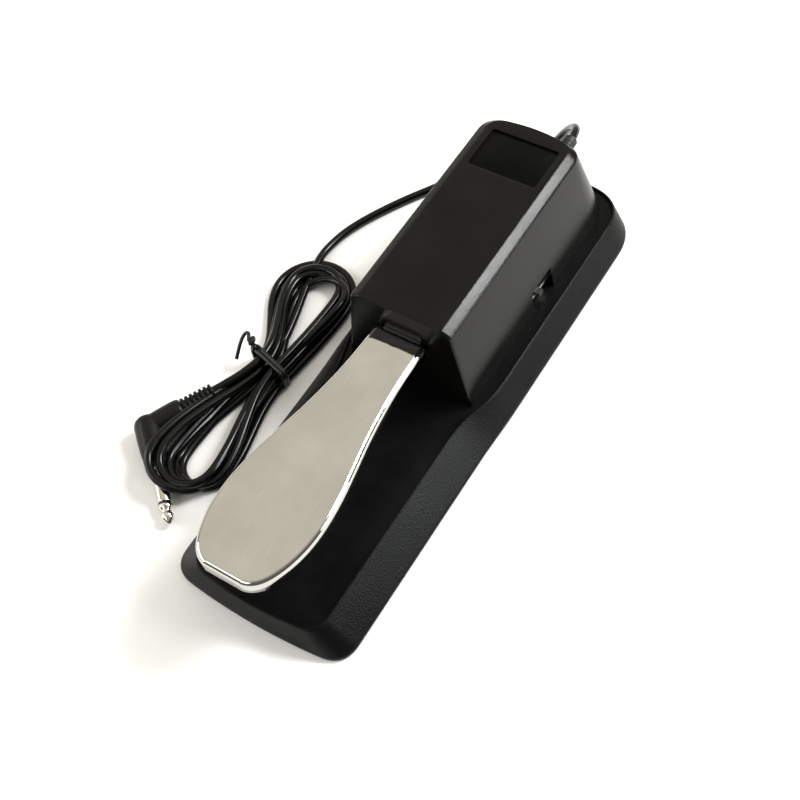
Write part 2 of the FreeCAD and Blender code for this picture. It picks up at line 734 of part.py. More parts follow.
wall = size("cover_wall")
shoulder = size("shoulder_height")
cover_top = size("cover_top")
low = (size("cover_half_low"), size("cover_rear_low"), size("cover_corner_low"))
high = (size("cover_half_high"), size("cover_rear_high"), size("cover_corner_high"))
top = (size("cover_half_top"), size("cover_rear_high") - 1.2, size("cover_corner_high") - 2.0)
cover_outer = shaped(
    "cover_outer",
    between(
        cover_ring(deck_level, *low, 0), cover_ring(shoulder, *high, 0), cover_ring(cover_top, *top, 0)
    ),
)
cover_inner = shaped(
    "cover_inner",
    between(
        cover_ring(deck_level, *low, wall),
        cover_ring(shoulder - wall, high[0] + 0.3, high[1] + 0.9, high[2], wall),
        cover_ring(cover_top - wall, *top, wall),
    ),
)
arm_z_front = f"(pivot_z + {arm_under} + (pivot_y - cover_front) * {pad_drop})"
slot_low = f"({arm_z_front} - (pivot_y - cover_front) * {pad_swing} - slot_clear)"
lever_slot = box(
    "lever_slot", "-arm_half - slot_clear", "cover_front - 2", slot_low,
    "2 * (arm_half + slot_clear)", "cover_wall + 4", f"{arm_z_front} + arm_thick + slot_clear - {slot_low}",
)
plate_well = box(
    "plate_well", "-plate_half", "plate_front", "cover_top - plate_recess", "2 * plate_half", "plate_length",
    "2 * plate_recess",
)
switch_window = box(
    "switch_window", "cover_half_high", "window_front", f"{deck} - 1", "12", "window_length",
    f"window_top - {deck} + 1",
)
gland_hole = rod("gland_hole", "gland_x", "gland_inner", "gland_z", "gland_radius", "20", ALONG_Y)
cover_bosses = [
    rod(f"cover_boss_{n}", x, y, deck, "boss_radius", f"boss_top - {deck}")
    for n, (x, y) in enumerate(screw_spots)
]
boss_holes = [
    rod(f"boss_hole_{n}", x, y, f"{deck} - 1", "screw_radius", f"boss_top - {deck} - 1")
    for n, (x, y) in enumerate(screw_spots)
]
cover_shell = fuse("cover_shell", cut("cover_hollowed", cover_outer, cover_inner), *cover_bosses)
keep(
    cut("cover_solid", cover_shell, lever_slot, plate_well, switch_window, gland_hole, *boss_holes),
    "housing_cover",
)
keep(
    place(
        plate("plate_solid", "2 * (plate_half - plate_gap)", "plate_length - 2 * plate_gap", "plate_thick"),
        "-plate_half + plate_gap", "plate_front + plate_gap", "cover_top - plate_recess",
    ),
    "blank_plate",
)

# ---------------------------------------------------------------- pivot bracket, shaft and clips

bracket_in = "(arm_half + bushing_flange + side_clear)"
bracket_out = f"({bracket_in} + bracket_thick)"
bracket_foot = box(
    "bracket_foot", f"-{bracket_out}", "pivot_y - bracket_foot", deck, f"2 * {bracket_out}",
    "2 * bracket_foot", "bracket_thick",
)
bracket_cheeks = [
    box(
        f"bracket_cheek_{n}", x, "pivot_y - bracket_reach", deck, "bracket_thick", "2 * bracket_reach",
        f"pivot_z + bracket_top - {deck}",
    )
    for n, x in enumerate((f"-{bracket_out}", bracket_in))
]
bracket_bore = rod("bracket_bore", "-30", "pivot_y", "pivot_z", "shaft_radius", "60", ALONG_X)
foot_holes = [
    rod(f"foot_hole_{n}", x, y, f"{deck} - 1", "screw_radius + screw_clear", "bracket_thick + 2")
    for n, (x, y) in enumerate(bracket_spots)
]
keep(
    cut("bracket_solid", fuse("bracket_blank", bracket_foot, *bracket_cheeks), bracket_bore, *foot_holes),
    "pivot_bracket",
)
keep(
    group(
        "bracket_screw_set",
        *[
            screw(f"bracket_screw_{n}", x, y, f"{deck} + bracket_thick", "screw_radius", "screw_head_radius",
                  "screw_head", "bracket_thick + 5")
            for n, (x, y) in enumerate(bracket_spots)
        ],
    ),
    "bracket_screws",
)
groove = "(shaft_radius - clip_groove)"
shaft_total = f"(2 * {bracket_out} + 2 * shaft_end + 2 * clip_thick)"
keep(
    place(
        turned(
            "shaft_solid",
            [("0", "0"), ("shaft_radius", "0"), ("shaft_radius", "shaft_end"), (groove, "shaft_end"),
             (groove, "shaft_end + clip_thick"), ("shaft_radius", "shaft_end + clip_thick"),
             ("shaft_radius", f"{shaft_total} - shaft_end - clip_thick"),
             (groove, f"{shaft_total} - shaft_end - clip_thick"), (groove, f"{shaft_total} - shaft_end"),
             ("shaft_radius", f"{shaft_total} - shaft_end"), ("shaft_radius", shaft_total),
             ("0", shaft_total)],
        ),
        f"-{shaft_total} / 2", "pivot_y", "pivot_z", ALONG_X,
    ),
    "pivot_shaft",
)
clips = []
for n, x in enumerate((f"-{bracket_out} - clip_thick", bracket_out)):
    disc = rod(f"clip_disc_{n}", x, "pivot_y", "pivot_z", "clip_radius", "clip_thick", ALONG_X)
    hole = rod(f"clip_bore_{n}", f"{x} - 1", "pivot_y", "pivot_z", groove, "clip_thick + 2", ALONG_X)
    mouth = box(
        f"clip_mouth_{n}", f"{x} - 1", f"pivot_y - {groove} + clip_grip", "pivot_z - 2 * clip_radius",
        "clip_thick + 2", f"2 * ({groove} - clip_grip)", "2 * clip_radius",
    )
    clips.append(cut(f"clip_{n}", disc, hole, mouth))
keep(group("clip_set", *clips), "shaft_clips")

# ---------------------------------------------------------------- lever, in a frame of its own
# Its origin is on the pivot's axis, and its Y axis runs back along the lever.


def on_lever(piece):
    """Puts a piece that was made in the lever's own frame where the lever is."""
    piece.Placement = Placement(Vector(), Rotation(Vector(1, 0, 0), -size("lever_tilt")))
    return place(piece, "0", "pivot_y", "pivot_z")


def foot_outline(inset):
    """The foot plate's outline in the lever's frame, at the height of its face, drawn in by an inset."""
    nose = inset - (size("foot_front") + size("pivot_y"))
    rear = size("cover_front") - size("foot_rear_gap") - size("pivot_y") - inset
    neck = size("foot_neck_half") - inset
    spread = size("foot_half") - size("foot_neck_half")
    level = size("plate_over_pivot")
    rear_corner = size("foot_rear_corner")
    edges = []
    nose_half = size("foot_nose_half") - 0.5 * inset
    edges.append(Part.LineSegment(Vector(-nose_half, nose, level), Vector(nose_half, nose, level)).toShape())
    rear_half = neck - rear_corner
    edges.append(Part.LineSegment(Vector(-rear_half, rear, level), Vector(rear_half, rear, level)).toShape())
    for side in (1.0, -1.0):
        points = [Vector(side * nose_half, nose, level)]
        points += [Vector(side * (neck + spread * share), nose + back, level) for back, share in FOOT_EDGE]
        points.append(Vector(side * neck, rear - rear_corner, level))
        curve = Part.BSplineCurve()
        curve.buildFromPoles(points, False, 3)
        edges.append(curve.toShape())
        corner = Part.BezierCurve()
        corner.setPoles(
            [
                Vector(side * neck, rear - rear_corner, level),
                Vector(side * neck, rear, level),
                Vector(side * rear_half, rear, level),
            ]
        )
        edges.append(corner.toShape())
    return Part.Wire(Part.__sortEdges__(edges))


def foot_shell():
    """The pressed foot plate: a blank with a rolled upper edge, hollowed from below."""
    depth = size("foot_depth")
    sheet_wall = size("foot_wall")
    face = Part.Face(foot_outline(0.0))
    blank = face.extrude(Vector(0, 0, -depth))
    level = size("plate_over_pivot")
    rolled = [edge for edge in blank.Edges if edge.BoundBox.ZMin > level - 1e-6]
    blank = blank.makeFillet(size("foot_round"), rolled)
    hollow = Part.Face(foot_outline(sheet_wall)).extrude(Vector(0, 0, -depth))
    hollow.translate(Vector(0, 0, -sheet_wall))
    arm_gap = size("arm_half") + size("slot_clear")
    rear = size("cover_front") - size("foot_rear_gap") - size("pivot_y")
    corner = Vector(-arm_gap, rear - 2.0 * sheet_wall, level - depth - sheet_wall)
    notch = Part.makeBox(2.0 * arm_gap, 3.0 * sheet_wall, depth, corner)
    return blank.cut(hollow).cut(notch)


keep(on_lever(shaped("foot_solid", foot_shell())), "foot_plate")

arm_bar = box(
    "arm_bar", "-arm_half", "-arm_reach", arm_under, "2 * arm_half", "arm_reach + arm_tail", "arm_thick"
)
ears = [
    box(
        f"arm_ear_{n}", x, "-ear_reach", "-ear_drop", "arm_thick", "2 * ear_reach",
        f"{arm_under} + ear_drop + 1",
    )
    for n, x in enumerate(("-arm_half", "arm_half - arm_thick"))
]
bushing_radius = "(shaft_radius + running_clear + bushing_wall)"
ear_bore = rod("ear_bore", "-30", "0", "0", bushing_radius, "60", ALONG_X)
rivet_y = ["-arm_reach + rivet_inset", "-arm_reach + rivet_inset + rivet_step"]
arm_rivet_holes = [
    rod(f"arm_rivet_hole_{n}", "0", y, f"{arm_under} - 1", "rivet_radius", "arm_thick + 2")
    for n, y in enumerate(rivet_y)
]
tab_rivet_hole = rod(
    "tab_rivet_hole", "0", "tab_y + tab_rivet_y", f"{arm_under} - 4", "tab_rivet_radius", "12"
)
arm_solid = cut(
    "arm_solid", fuse("arm_blank", arm_bar, *ears), ear_bore, *arm_rivet_holes, tab_rivet_hole
)
keep(on_lever(arm_solid), "lever_arm")

rivets = [
    place(
        turned(
            f"arm_rivet_{n}",
            [("0", "0"), ("rivet_head - rivet_edge", "0"), ("rivet_head", "rivet_rise - rivet_edge"),
             ("rivet_head", "rivet_rise"), ("rivet_radius", "rivet_rise"),
             ("rivet_radius", "rivet_rise + arm_thick"), ("0", "rivet_rise + arm_thick")],
        ),
        "0", y, f"{arm_under} - rivet_rise",
    )
    for n, y in enumerate(rivet_y)
]
keep(on_lever(group("arm_rivet_set", *rivets)), "arm_rivets")

tab_drop = f"({arm_under} + pivot_z - {deck} - switch_height - plunger_up - plunger_clear)"
tab_top = box(
    "tab_top", "-tab_half", "tab_y - tab_thick / 2", f"{arm_under} - tab_thick", "2 * tab_half", "tab_length",
    "tab_thick",
)
tab_leg = box(
    "tab_leg", "-tab_half", "tab_y - tab_thick / 2", f"{arm_under} - {tab_drop} + tab_lift", "2 * tab_half",
    "tab_thick", f"{tab_drop} - tab_lift",
)
tab_hole = rod("tab_hole", "0", "tab_y + tab_rivet_y", f"{arm_under} - 4", "tab_rivet_radius", "12")
keep(on_lever(cut("tab_solid", fuse("tab_blank", tab_top, tab_leg), tab_hole)), "actuator_tab")
keep(
    on_lever(
        group(
            "tab_rivet_set",
            place(
                turned(
                    "tab_rivet_turned",
                    [("0", "0"), ("tab_rivet_head - rivet_edge", "0"),
                     ("tab_rivet_head", "tab_rivet_rise - rivet_edge"), ("tab_rivet_head", "tab_rivet_rise"),
                     ("tab_rivet_radius", "tab_rivet_rise"),
                     ("tab_rivet_radius", "tab_rivet_rise + tab_thick + arm_thick"),
                     ("0", "tab_rivet_rise + tab_thick + arm_thick")],
                ),
                "0", "tab_y + tab_rivet_y", f"{arm_under} - tab_thick - tab_rivet_rise",
            ),
        )
    ),
    "tab_rivet",
)

bushings = []
for n, (x, turn) in enumerate((("arm_half - arm_thick", 90), ("-(arm_half - arm_thick)", -90))):
    bushings.append(
        place(
            turned(
                f"bushing_{n}",
                [("shaft_radius + running_clear", "0"), (bushing_radius, "0"), (bushing_radius, "arm_thick"),
                 (f"{bushing_radius} + bushing_flange", "arm_thick"),
                 (f"{bushing_radius} + bushing_flange", "arm_thick + bushing_flange"),
                 ("shaft_radius + running_clear", "arm_thick + bushing_flange")],
            ),
            x, "pivot_y", "pivot_z", Rotation(Vector(0, 1, 0), turn),
        )
    )
keep(group("bushing_set", *bushings), "lever_bushings")
keep(
    on_lever(
        group(
            "stud_set",
            rod(
                "stud_pin", "0", "spring_y - pivot_y", f"{arm_under} - stud_length", "stud_radius",
                "stud_length",
            ),
        )
    ),
    "spring_stud",
)

# ---------------------------------------------------------------- spring, cup and pads

keep(
    place(
        turned(
            "cup_solid",
            [("0", "0"), ("cup_radius", "0"), ("cup_radius", "cup_height"),
             ("cup_radius - cup_wall", "cup_height"), ("cup_radius - cup_wall", "cup_floor"),
             ("0", "cup_floor")],
        ),
        "0", "spring_y", deck,
    ),
    "spring_cup",
)


def return_spring():
    """A round-wire coil between the cup's floor and the lever arm."""
    wire = size("spring_wire")
    bottom = deck_level + size("cup_floor") + wire + 0.05
    arm_level = worked_out(f"pivot_z + {arm_under} + (pivot_y - spring_y) * {pad_drop}")
    rise = arm_level - 0.35 - wire - bottom
    radius = size("spring_radius")
    coil = Part.makeHelix(rise / size("spring_turns"), rise, radius)
    start = coil.Edges[0].valueAt(coil.Edges[0].FirstParameter)
    tangent = coil.Edges[0].tangentAt(coil.Edges[0].FirstParameter)
    section = Part.Wire(Part.makeCircle(wire, start, tangent))
    solid = Part.Wire(coil.Edges).makePipeShell([section], True, True)
    solid.translate(Vector(0, size("spring_y"), bottom))
    return solid


keep(shaped("spring_solid", return_spring()), "return_spring")
for label, along, level in (("rest_pad", rest_y, rest_top), ("stop_pad", stop_y, stop_top)):
    keep(
        place(
            plate(f"{label}_solid", "2 * pad_half", "pad_length", "pad_thick"),
            "-pad_half", f"{along} - pad_length / 2", f"{level} - pad_thick",
        ),
        label,
    )

# ---------------------------------------------------------------- lever switch

switch_block = place(
    plate("switch_block", "switch_left + switch_right", "switch_depth", "switch_height"),
    "-switch_left", f"{tab_place} - switch_depth / 2", deck,
)
plunger_hole = rod(
    "plunger_hole", "0", tab_place, f"{deck} + switch_height - plunger_in - 0.3",
    "plunger_radius + running_clear", "plunger_in + 2",
)
switch_holes = [
    rod(f"switch_hole_{n}", x, f"{tab_place} - 5", switch_screw_z, "small_screw + 0.05", "12", ALONG_Y)
    for n, x in enumerate(switch_screw_x)
]
keep(cut("switch_solid", switch_block, plunger_hole, *switch_holes), "lever_switch")
keep(
    place(
        turned(
            "plunger_solid",
            [("0", "0"), ("plunger_radius", "0"), ("plunger_radius", "plunger_in + plunger_up - 0.5"),
             ("plunger_radius - 0.5", "plunger_in + plunger_up"), ("0", "plunger_in + plunger_up")],
        ),
        "0", tab_place, f"{deck} + switch_height - plunger_in",
    ),
    "switch_plunger",
)
keep(
    group(
        "terminal_set",
        *[
            box(
                f"terminal_{n}", "-switch_left - terminal_reach", f"{tab_place} - terminal_wide / 2",
                f"{deck} + terminal_rise + {n} * terminal_step", "terminal_reach", "terminal_wide",
                "terminal_thick",
            )
            for n in range(3)
        ],
    ),
    "switch_terminals",
)
keep(
    group(
        "switch_screw_set",
        *[
            place(
                turned(
                    f"switch_screw_{n}",
                    [("0", "0"), ("small_head", "0"), ("small_head", "small_rise"),
                     ("small_screw", "small_rise"),
                     ("small_screw", "small_rise + switch_depth + rib_thick - 0.2"),
                     ("0", "small_rise + switch_depth + rib_thick - 0.2")],
                ),
                x, f"{tab_place} - switch_depth / 2 - small_rise", switch_screw_z, ALONG_Y,
            )
            for n, x in enumerate(switch_screw_x)
        ],
    ),
    "switch_screws",
)

# ---------------------------------------------------------------- board and polarity switch

board_low = f"({deck} + board_lift)"
board_top = f"({deck} + board_lift + board_thick)"
board_blank = place(
    plate("board_blank", "board_right - board_left", "board_length", "board_thick"),
    "board_left", "board_front", board_low,
)
board_screw_holes = [
    rod(f"board_screw_hole_{n}", x, y, deck, "small_screw + 0.1", "8") for n, (x, y) in enumerate(board_spots)
]
keep(cut("board_solid", board_blank, *board_screw_holes), "circuit_board")
keep(
    group(
        "board_screw_set",
        *[
            screw(f"board_screw_{n}", x, y, board_top, "small_screw", "small_head", "small_rise",
                  "board_thick + board_lift - 1")
            for n, (x, y) in enumerate(board_spots)
        ],
    ),
    "board_screws",
)
slide_front = "(window_front + (window_length - slide_length) / 2)"
slide_right = "(board_right - frame_sheet)"
slide_left = f"({slide_right} - slide_depth)"
knob_y = f"({slide_front} + slide_length / 2 - knob_travel / 2)"
knob_low = f"({board_top} + 1.4)"
knob_race = box(
    "knob_race", f"{slide_right} - 2", f"{knob_y} - knob_half - knob_clear", f"{knob_low} - knob_clear",
    "10", "2 * (knob_half + knob_clear) + knob_travel", "knob_height + 2 * knob_clear",
)
slide_block = box(
    "slide_block", slide_left, slide_front, board_top, "slide_depth", "slide_length", "slide_height"
)
keep(cut("slide_solid", slide_block, knob_race), "polarity_switch")
frame_front = box(
    "frame_front", slide_right, slide_front, board_top, "frame_sheet", "slide_length",
    "slide_height + frame_sheet",
)
frame_lid = box(
    "frame_lid", slide_left, slide_front, f"{board_top} + slide_height", "slide_depth + frame_sheet",
    "slide_length", "frame_sheet",
)
keep(cut("frame_solid", fuse("frame_blank", frame_front, frame_lid), knob_race), "polarity_frame")
keep(
    place(
        plate("knob_solid", "1.8 + frame_sheet + knob_reach", "2 * knob_half", "knob_height"),
        f"{slide_right} - 1.8", f"{knob_y} - knob_half", knob_low,
    ),
    "polarity_knob",
)

# ---------------------------------------------------------------- inner wires, inner cord and clamp

board_top_level = worked_out(board_top)
tab_level = worked_out(tab_place)
wire_back = tab_level + size("switch_depth") / 2.0 + 2.4 + 1.6
wire_start = -size("switch_left") - 5.0
wires = []
for n, lift in enumerate((4.65, 7.85)):
    level = deck_level + lift
    out = wire_start - 3.5
    landing = size("board_left") + 3.0
    spots = [
        (wire_start, tab_level, level),
        (out, tab_level, level),
        (out, wire_back, level),
        (landing - 4.0, wire_back, level + 0.4),
        (landing, wire_back + n * 1.6 - 0.8, board_top_level),
    ]
    wires.append(tube(f"inner_wire_{n}", spots, "wire_radius"))
keep(group("wire_set", *wires), "switch_wires")

gland_x = size("gland_x")
gland_z = size("gland_z")
clamp_level = deck_level + size("clamp_height") / 2.0
board_end = size("board_front") + size("board_length")
inner_route = [
    (gland_x, size("gland_end"), gland_z),
    (gland_x, size("gland_inner") - 6.0, gland_z),
    (0.6 * gland_x + 0.4 * size("clamp_x"), size("clamp_y") + 13.0, 0.55 * gland_z + 0.45 * clamp_level),
    (size("clamp_x"), size("clamp_y") + 9.5, clamp_level),
    (size("clamp_x"), board_end + 0.6, clamp_level),
]
keep(tube("inner_cord_solid", inner_route, "cord_radius"), "inner_cord")
clamp_block = box(
    "clamp_block", "clamp_x - clamp_half", "clamp_y - clamp_length / 2", deck, "2 * clamp_half",
    "clamp_length",
    "clamp_height",
)
clamp_bore = rod(
    "clamp_bore", "clamp_x", "clamp_y - 10", f"{deck} + clamp_height / 2", "cord_radius", "20", ALONG_Y
)
clamp_screw_holes = [
    rod(f"clamp_screw_hole_{n}", x, y, f"{deck} - 1", "small_screw + 0.1", "12")
    for n, (x, y) in enumerate(clamp_spots)
]
keep(cut("clamp_solid", clamp_block, clamp_bore, *clamp_screw_holes), "cord_clamp")
keep(
    group(
        "clamp_screw_set",
        *[
            screw(f"clamp_screw_{n}", x, y, f"{deck} + clamp_height", "small_screw", "small_head", "1.2",
                  "clamp_height + 2.2")
            for n, (x, y) in enumerate(clamp_spots)
        ],
    ),
    "clamp_screws",
)
gland_length = "(gland_end - gland_inner)"
keep(
    place(
        turned(
            "gland_solid",
            [("cord_radius", "0"), ("gland_flange_radius", "0"), ("gland_flange_radius", "gland_flange"),
             ("gland_radius", "gland_flange"), ("gland_radius", f"{gland_length} - 3.5"),
             ("gland_tip", gland_length), ("cord_radius", gland_length)],
        ),
        "gland_x", "gland_inner", "gland_z", ALONG_Y,
    ),
    "strain_relief",
)

# ---------------------------------------------------------------- cord, hank and tie

keep(tube("cord_solid", CORD_ROUTE, "cord_radius"), "cord")


def hank_solid():
    """The outer shape of the folded cord: a closed smooth outline, as high as its layers of cord."""
    curve = Part.BSplineCurve()
    curve.buildFromPoles([Vector(x, y, 0) for x, y in HANK_OUTLINE], True, 2)
    return prism(Part.Wire(curve.toShape()), size("hank_height"))


keep(shaped("hank_shape", hank_solid()), "cord_hank")
tie_outer = box(
    "tie_outer", "-tie_half - tie_wire", "-tie_width / 2", "0", "2 * (tie_half + tie_wire)", "tie_width",
    "tie_height + tie_wire",
)
tie_inner = box(
    "tie_inner", "-tie_half", "-tie_width", "-1", "2 * tie_half", "2 * tie_width", "tie_height + 1"
)
tie_solid = cut("tie_solid", tie_outer, tie_inner)
tie_solid.Placement = Placement(Vector(*TIE_PLACE, 0), Rotation(Vector(0, 0, 1), TIE_TURN))
keep(tie_solid, "twist_tie")

# ---------------------------------------------------------------- plug

elbow = Vector(*PLUG_ELBOW)
contact_way = (Vector(*PLUG_TIP_END) - elbow).normalize()
boot_way = (Vector(*BOOT_END) - elbow).normalize()
along_contact = Rotation(Vector(0, 0, 1), contact_way)
along_boot = Rotation(Vector(0, 0, 1), boot_way)


def on_axis(piece, start, rotation, direction, distance_text):
    """Puts a turned piece on one of the plug's axes, at a distance that follows the sheet."""
    piece.Placement = Placement(Vector(), rotation)
    for axis, origin, share in zip("xyz", start, direction):
        text = f"{origin:.4f} + ({share:.6f}) * ({distance_text})"
        piece.setExpression(f"Placement.Base.{axis}", formula(text))
    return piece


body_total = "(plug_body_length + plug_cap)"
body_barrel = on_axis(
    turned(
        "plug_barrel",
        [("0", "0"), ("plug_body_radius - 2.4", "0"), ("plug_body_radius", "2.4"),
         ("plug_body_radius", f"{body_total} - 4"), ("plug_body_radius - 0.9", f"{body_total} - 4"),
         ("plug_body_radius - 1.6", body_total), ("0", body_total)],
    ),
    elbow, along_contact, contact_way, "-plug_cap",
)
body_neck = on_axis(
    turned(
        "plug_neck",
        [("0", "0"), ("plug_neck_radius", "0"), ("plug_neck_radius", "plug_neck_length"),
         ("0", "plug_neck_length")],
    ),
    elbow, along_boot, boot_way, "0",
)
keep(fuse("plug_body_solid", body_barrel, body_neck), "plug_body")
boot_total = (Vector(*BOOT_END) - elbow).Length


def ribbed_boot():
    """The boot's profile: a taper with raised ribs, from the body's neck to its thin end."""
    length = f"({boot_total:.3f} - plug_neck_length)"
    profile = [("0", "0")]
    ribs = 6
    for n in range(ribs):
        near = f"boot_radius + (boot_tip_radius - boot_radius) * {n} / {ribs}"
        start = f"{length} * {n} / {ribs}"
        ridge = f"{length} * ({n} + 0.55) / {ribs}"
        end = f"{length} * ({n} + 1) / {ribs}"
        profile += [(near, start), (near, ridge), (f"{near} - 0.8", ridge), (f"{near} - 0.8", end)]
    profile.append(("0", length))
    return profile


boot = on_axis(turned("boot_solid", ribbed_boot()), elbow, along_boot, boot_way, "plug_neck_length")
keep(boot, "plug_boot")
keep(
    on_axis(
        turned(
            "sleeve_solid",
            [("0", "0"), ("plug_radius", "0"), ("plug_radius", "plug_sleeve_length"),
             ("0", "plug_sleeve_length")],
        ),
        elbow, along_contact, contact_way, "plug_body_length",
    ),
    "plug_sleeve",
)
keep(
    on_axis(
        turned(
            "ring_solid",
            [("0", "0"), ("plug_radius - plug_ring_drop", "0"),
             ("plug_radius - plug_ring_drop", "plug_ring_length"),
             ("0", "plug_ring_length")],
        ),
        elbow, along_contact, contact_way, "plug_body_length + plug_sleeve_length",
    ),
    "plug_insulator",
)
keep(
    on_axis(
        turned(
            "tip_solid",
            [("0", "0"), ("plug_radius", "0"), ("plug_radius", "1.6"), ("plug_radius - 1.1", "3.6"),
             ("plug_radius - 0.2", "5.4"), ("plug_radius - 0.3", "6.2"), ("0.9", "plug_tip_length"),
             ("0", "plug_tip_length")],
        ),
        elbow, along_contact, contact_way, "plug_body_length + plug_sleeve_length + plug_ring_length",
    ),
    "plug_tip",
)

# ---------------------------------------------------------------- checks and files

doc.recompute()
for thing in doc.Objects:
    assert not {"Invalid", "Error"} & set(thing.State), f"{thing.Name} failed: {thing.State}"
for piece in nodes:
    assert not piece.Shape.isNull(), f"{piece.Label} has no shape"
    assert piece.Shape.isValid(), f"{piece.Label} isn't valid"
    assert piece.Shape.Solids, f"{piece.Label} has no solid"
    assert len(piece.Label) < MAX_LABEL, f"{piece.Label} is too long a name"
os.makedirs("parts", exist_ok=True)
for piece in nodes:
    piece.Shape.exportStep(f"parts/{piece.Label}.step")
print(f"{len(nodes)} nodes written")
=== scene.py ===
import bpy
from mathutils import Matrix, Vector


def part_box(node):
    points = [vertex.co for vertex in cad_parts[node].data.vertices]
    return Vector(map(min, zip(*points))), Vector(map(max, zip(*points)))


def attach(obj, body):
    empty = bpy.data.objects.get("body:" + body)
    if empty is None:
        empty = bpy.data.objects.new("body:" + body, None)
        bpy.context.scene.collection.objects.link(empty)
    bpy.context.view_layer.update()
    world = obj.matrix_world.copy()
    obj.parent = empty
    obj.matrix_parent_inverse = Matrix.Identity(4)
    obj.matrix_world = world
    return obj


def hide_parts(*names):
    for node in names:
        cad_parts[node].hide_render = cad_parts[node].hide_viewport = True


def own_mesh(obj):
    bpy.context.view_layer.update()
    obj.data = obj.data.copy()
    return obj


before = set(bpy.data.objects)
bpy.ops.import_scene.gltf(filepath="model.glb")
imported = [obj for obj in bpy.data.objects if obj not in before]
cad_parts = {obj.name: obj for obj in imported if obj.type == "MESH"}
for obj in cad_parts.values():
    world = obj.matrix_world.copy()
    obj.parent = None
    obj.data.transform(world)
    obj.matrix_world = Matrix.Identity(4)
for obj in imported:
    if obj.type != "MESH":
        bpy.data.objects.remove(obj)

"""The looks of a sustain pedal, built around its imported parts.

Lengths in the dataclasses are in millimetres. The meshes are in metres, in the row frame: +X to the right,
+Y to the housing's end, +Z up, and the origin in the middle of the sole's underside.
"""

import logging
import math
from dataclasses import dataclass, field
from enum import Enum
from typing import Sequence

import bpy
from mathutils import Matrix, Vector

log = logging.getLogger("pedal")
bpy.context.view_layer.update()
MM = 0.001
Point = tuple[float, float, float]


class Body(str, Enum):
    """The rigid bodies that pieces ride on."""

    BASE = "base"
    LEVER = "lever"


def blend_number(a: float, b: float, share: float) -> float:
    """The number that lies a share of the way from a to b."""
    return a + (b - a) * share


# ------------------------------------------------------------------ camera and studio


@dataclass
class CameraRig:
    """The camera: where it stands, which way it looks and its lens.

    Attributes:
        place: its place in millimetres.
        azimuth: its angle round the object, in degrees.
        elevation: its angle above the horizon, in degrees.
        roll: its turn about its own axis, in degrees.
        lens: the focal length on a 36 mm sensor.
    """

    place: Point = (202.8, -244.8, 477.0)
    azimuth: float = 41.45
    elevation: float = 56.74
    roll: float = -11.13
    lens: float = 57.1

    def build(self) -> bpy.types.Object:
        """Makes the camera and hands it to the scene.

        Returns:
            The camera object.
        """
        turn, rise, roll = (math.radians(a) for a in (self.azimuth, self.elevation, self.roll))
        back = Vector((math.sin(turn) * math.cos(rise), -math.cos(turn) * math.cos(rise), math.sin(rise)))
        right = (-back).cross(Vector((0, 0, 1))).normalized()
        up = right.cross(-back)
        across = right * math.cos(roll) + up * math.sin(roll)
        upward = up * math.cos(roll) - right * math.sin(roll)
        data = bpy.data.cameras.new("camera")
        data.lens = self.lens
        data.sensor_width = 36.0
        data.clip_start = 0.01
        camera = placed("camera", data)
        turned = Matrix((across, upward, back)).transposed().to_4x4()
        camera.matrix_world = Matrix.Translation(Vector(self.place) * MM) @ turned
        bpy.context.scene.camera = camera
        return camera


# ------------------------------------------------------------------ the cord's way


@dataclass(frozen=True)
class Turn:
    """One turn of the folded cord, in millimetres.

    Attributes:
        down: where its strand lies on the upper lobe's left side.
        left: the reach of its lower fold to the left.
        right: the reach of its lower fold to the right.
        bottom: the end of its lower fold.
        up: where its strand lies on the upper lobe's right side.
        top: the end of the upper fold that follows it.
        slots: its two places across the tie, going down and coming back.
        lifts: its heights on the left, at the tie, at the lower fold's start, middle and end, at the tie
            again and on the right.
    """

    down: float
    left: float
    right: float
    bottom: float
    up: float
    top: float
    slots: tuple[float, float]
    lifts: tuple[float, float, float, float, float, float, float]


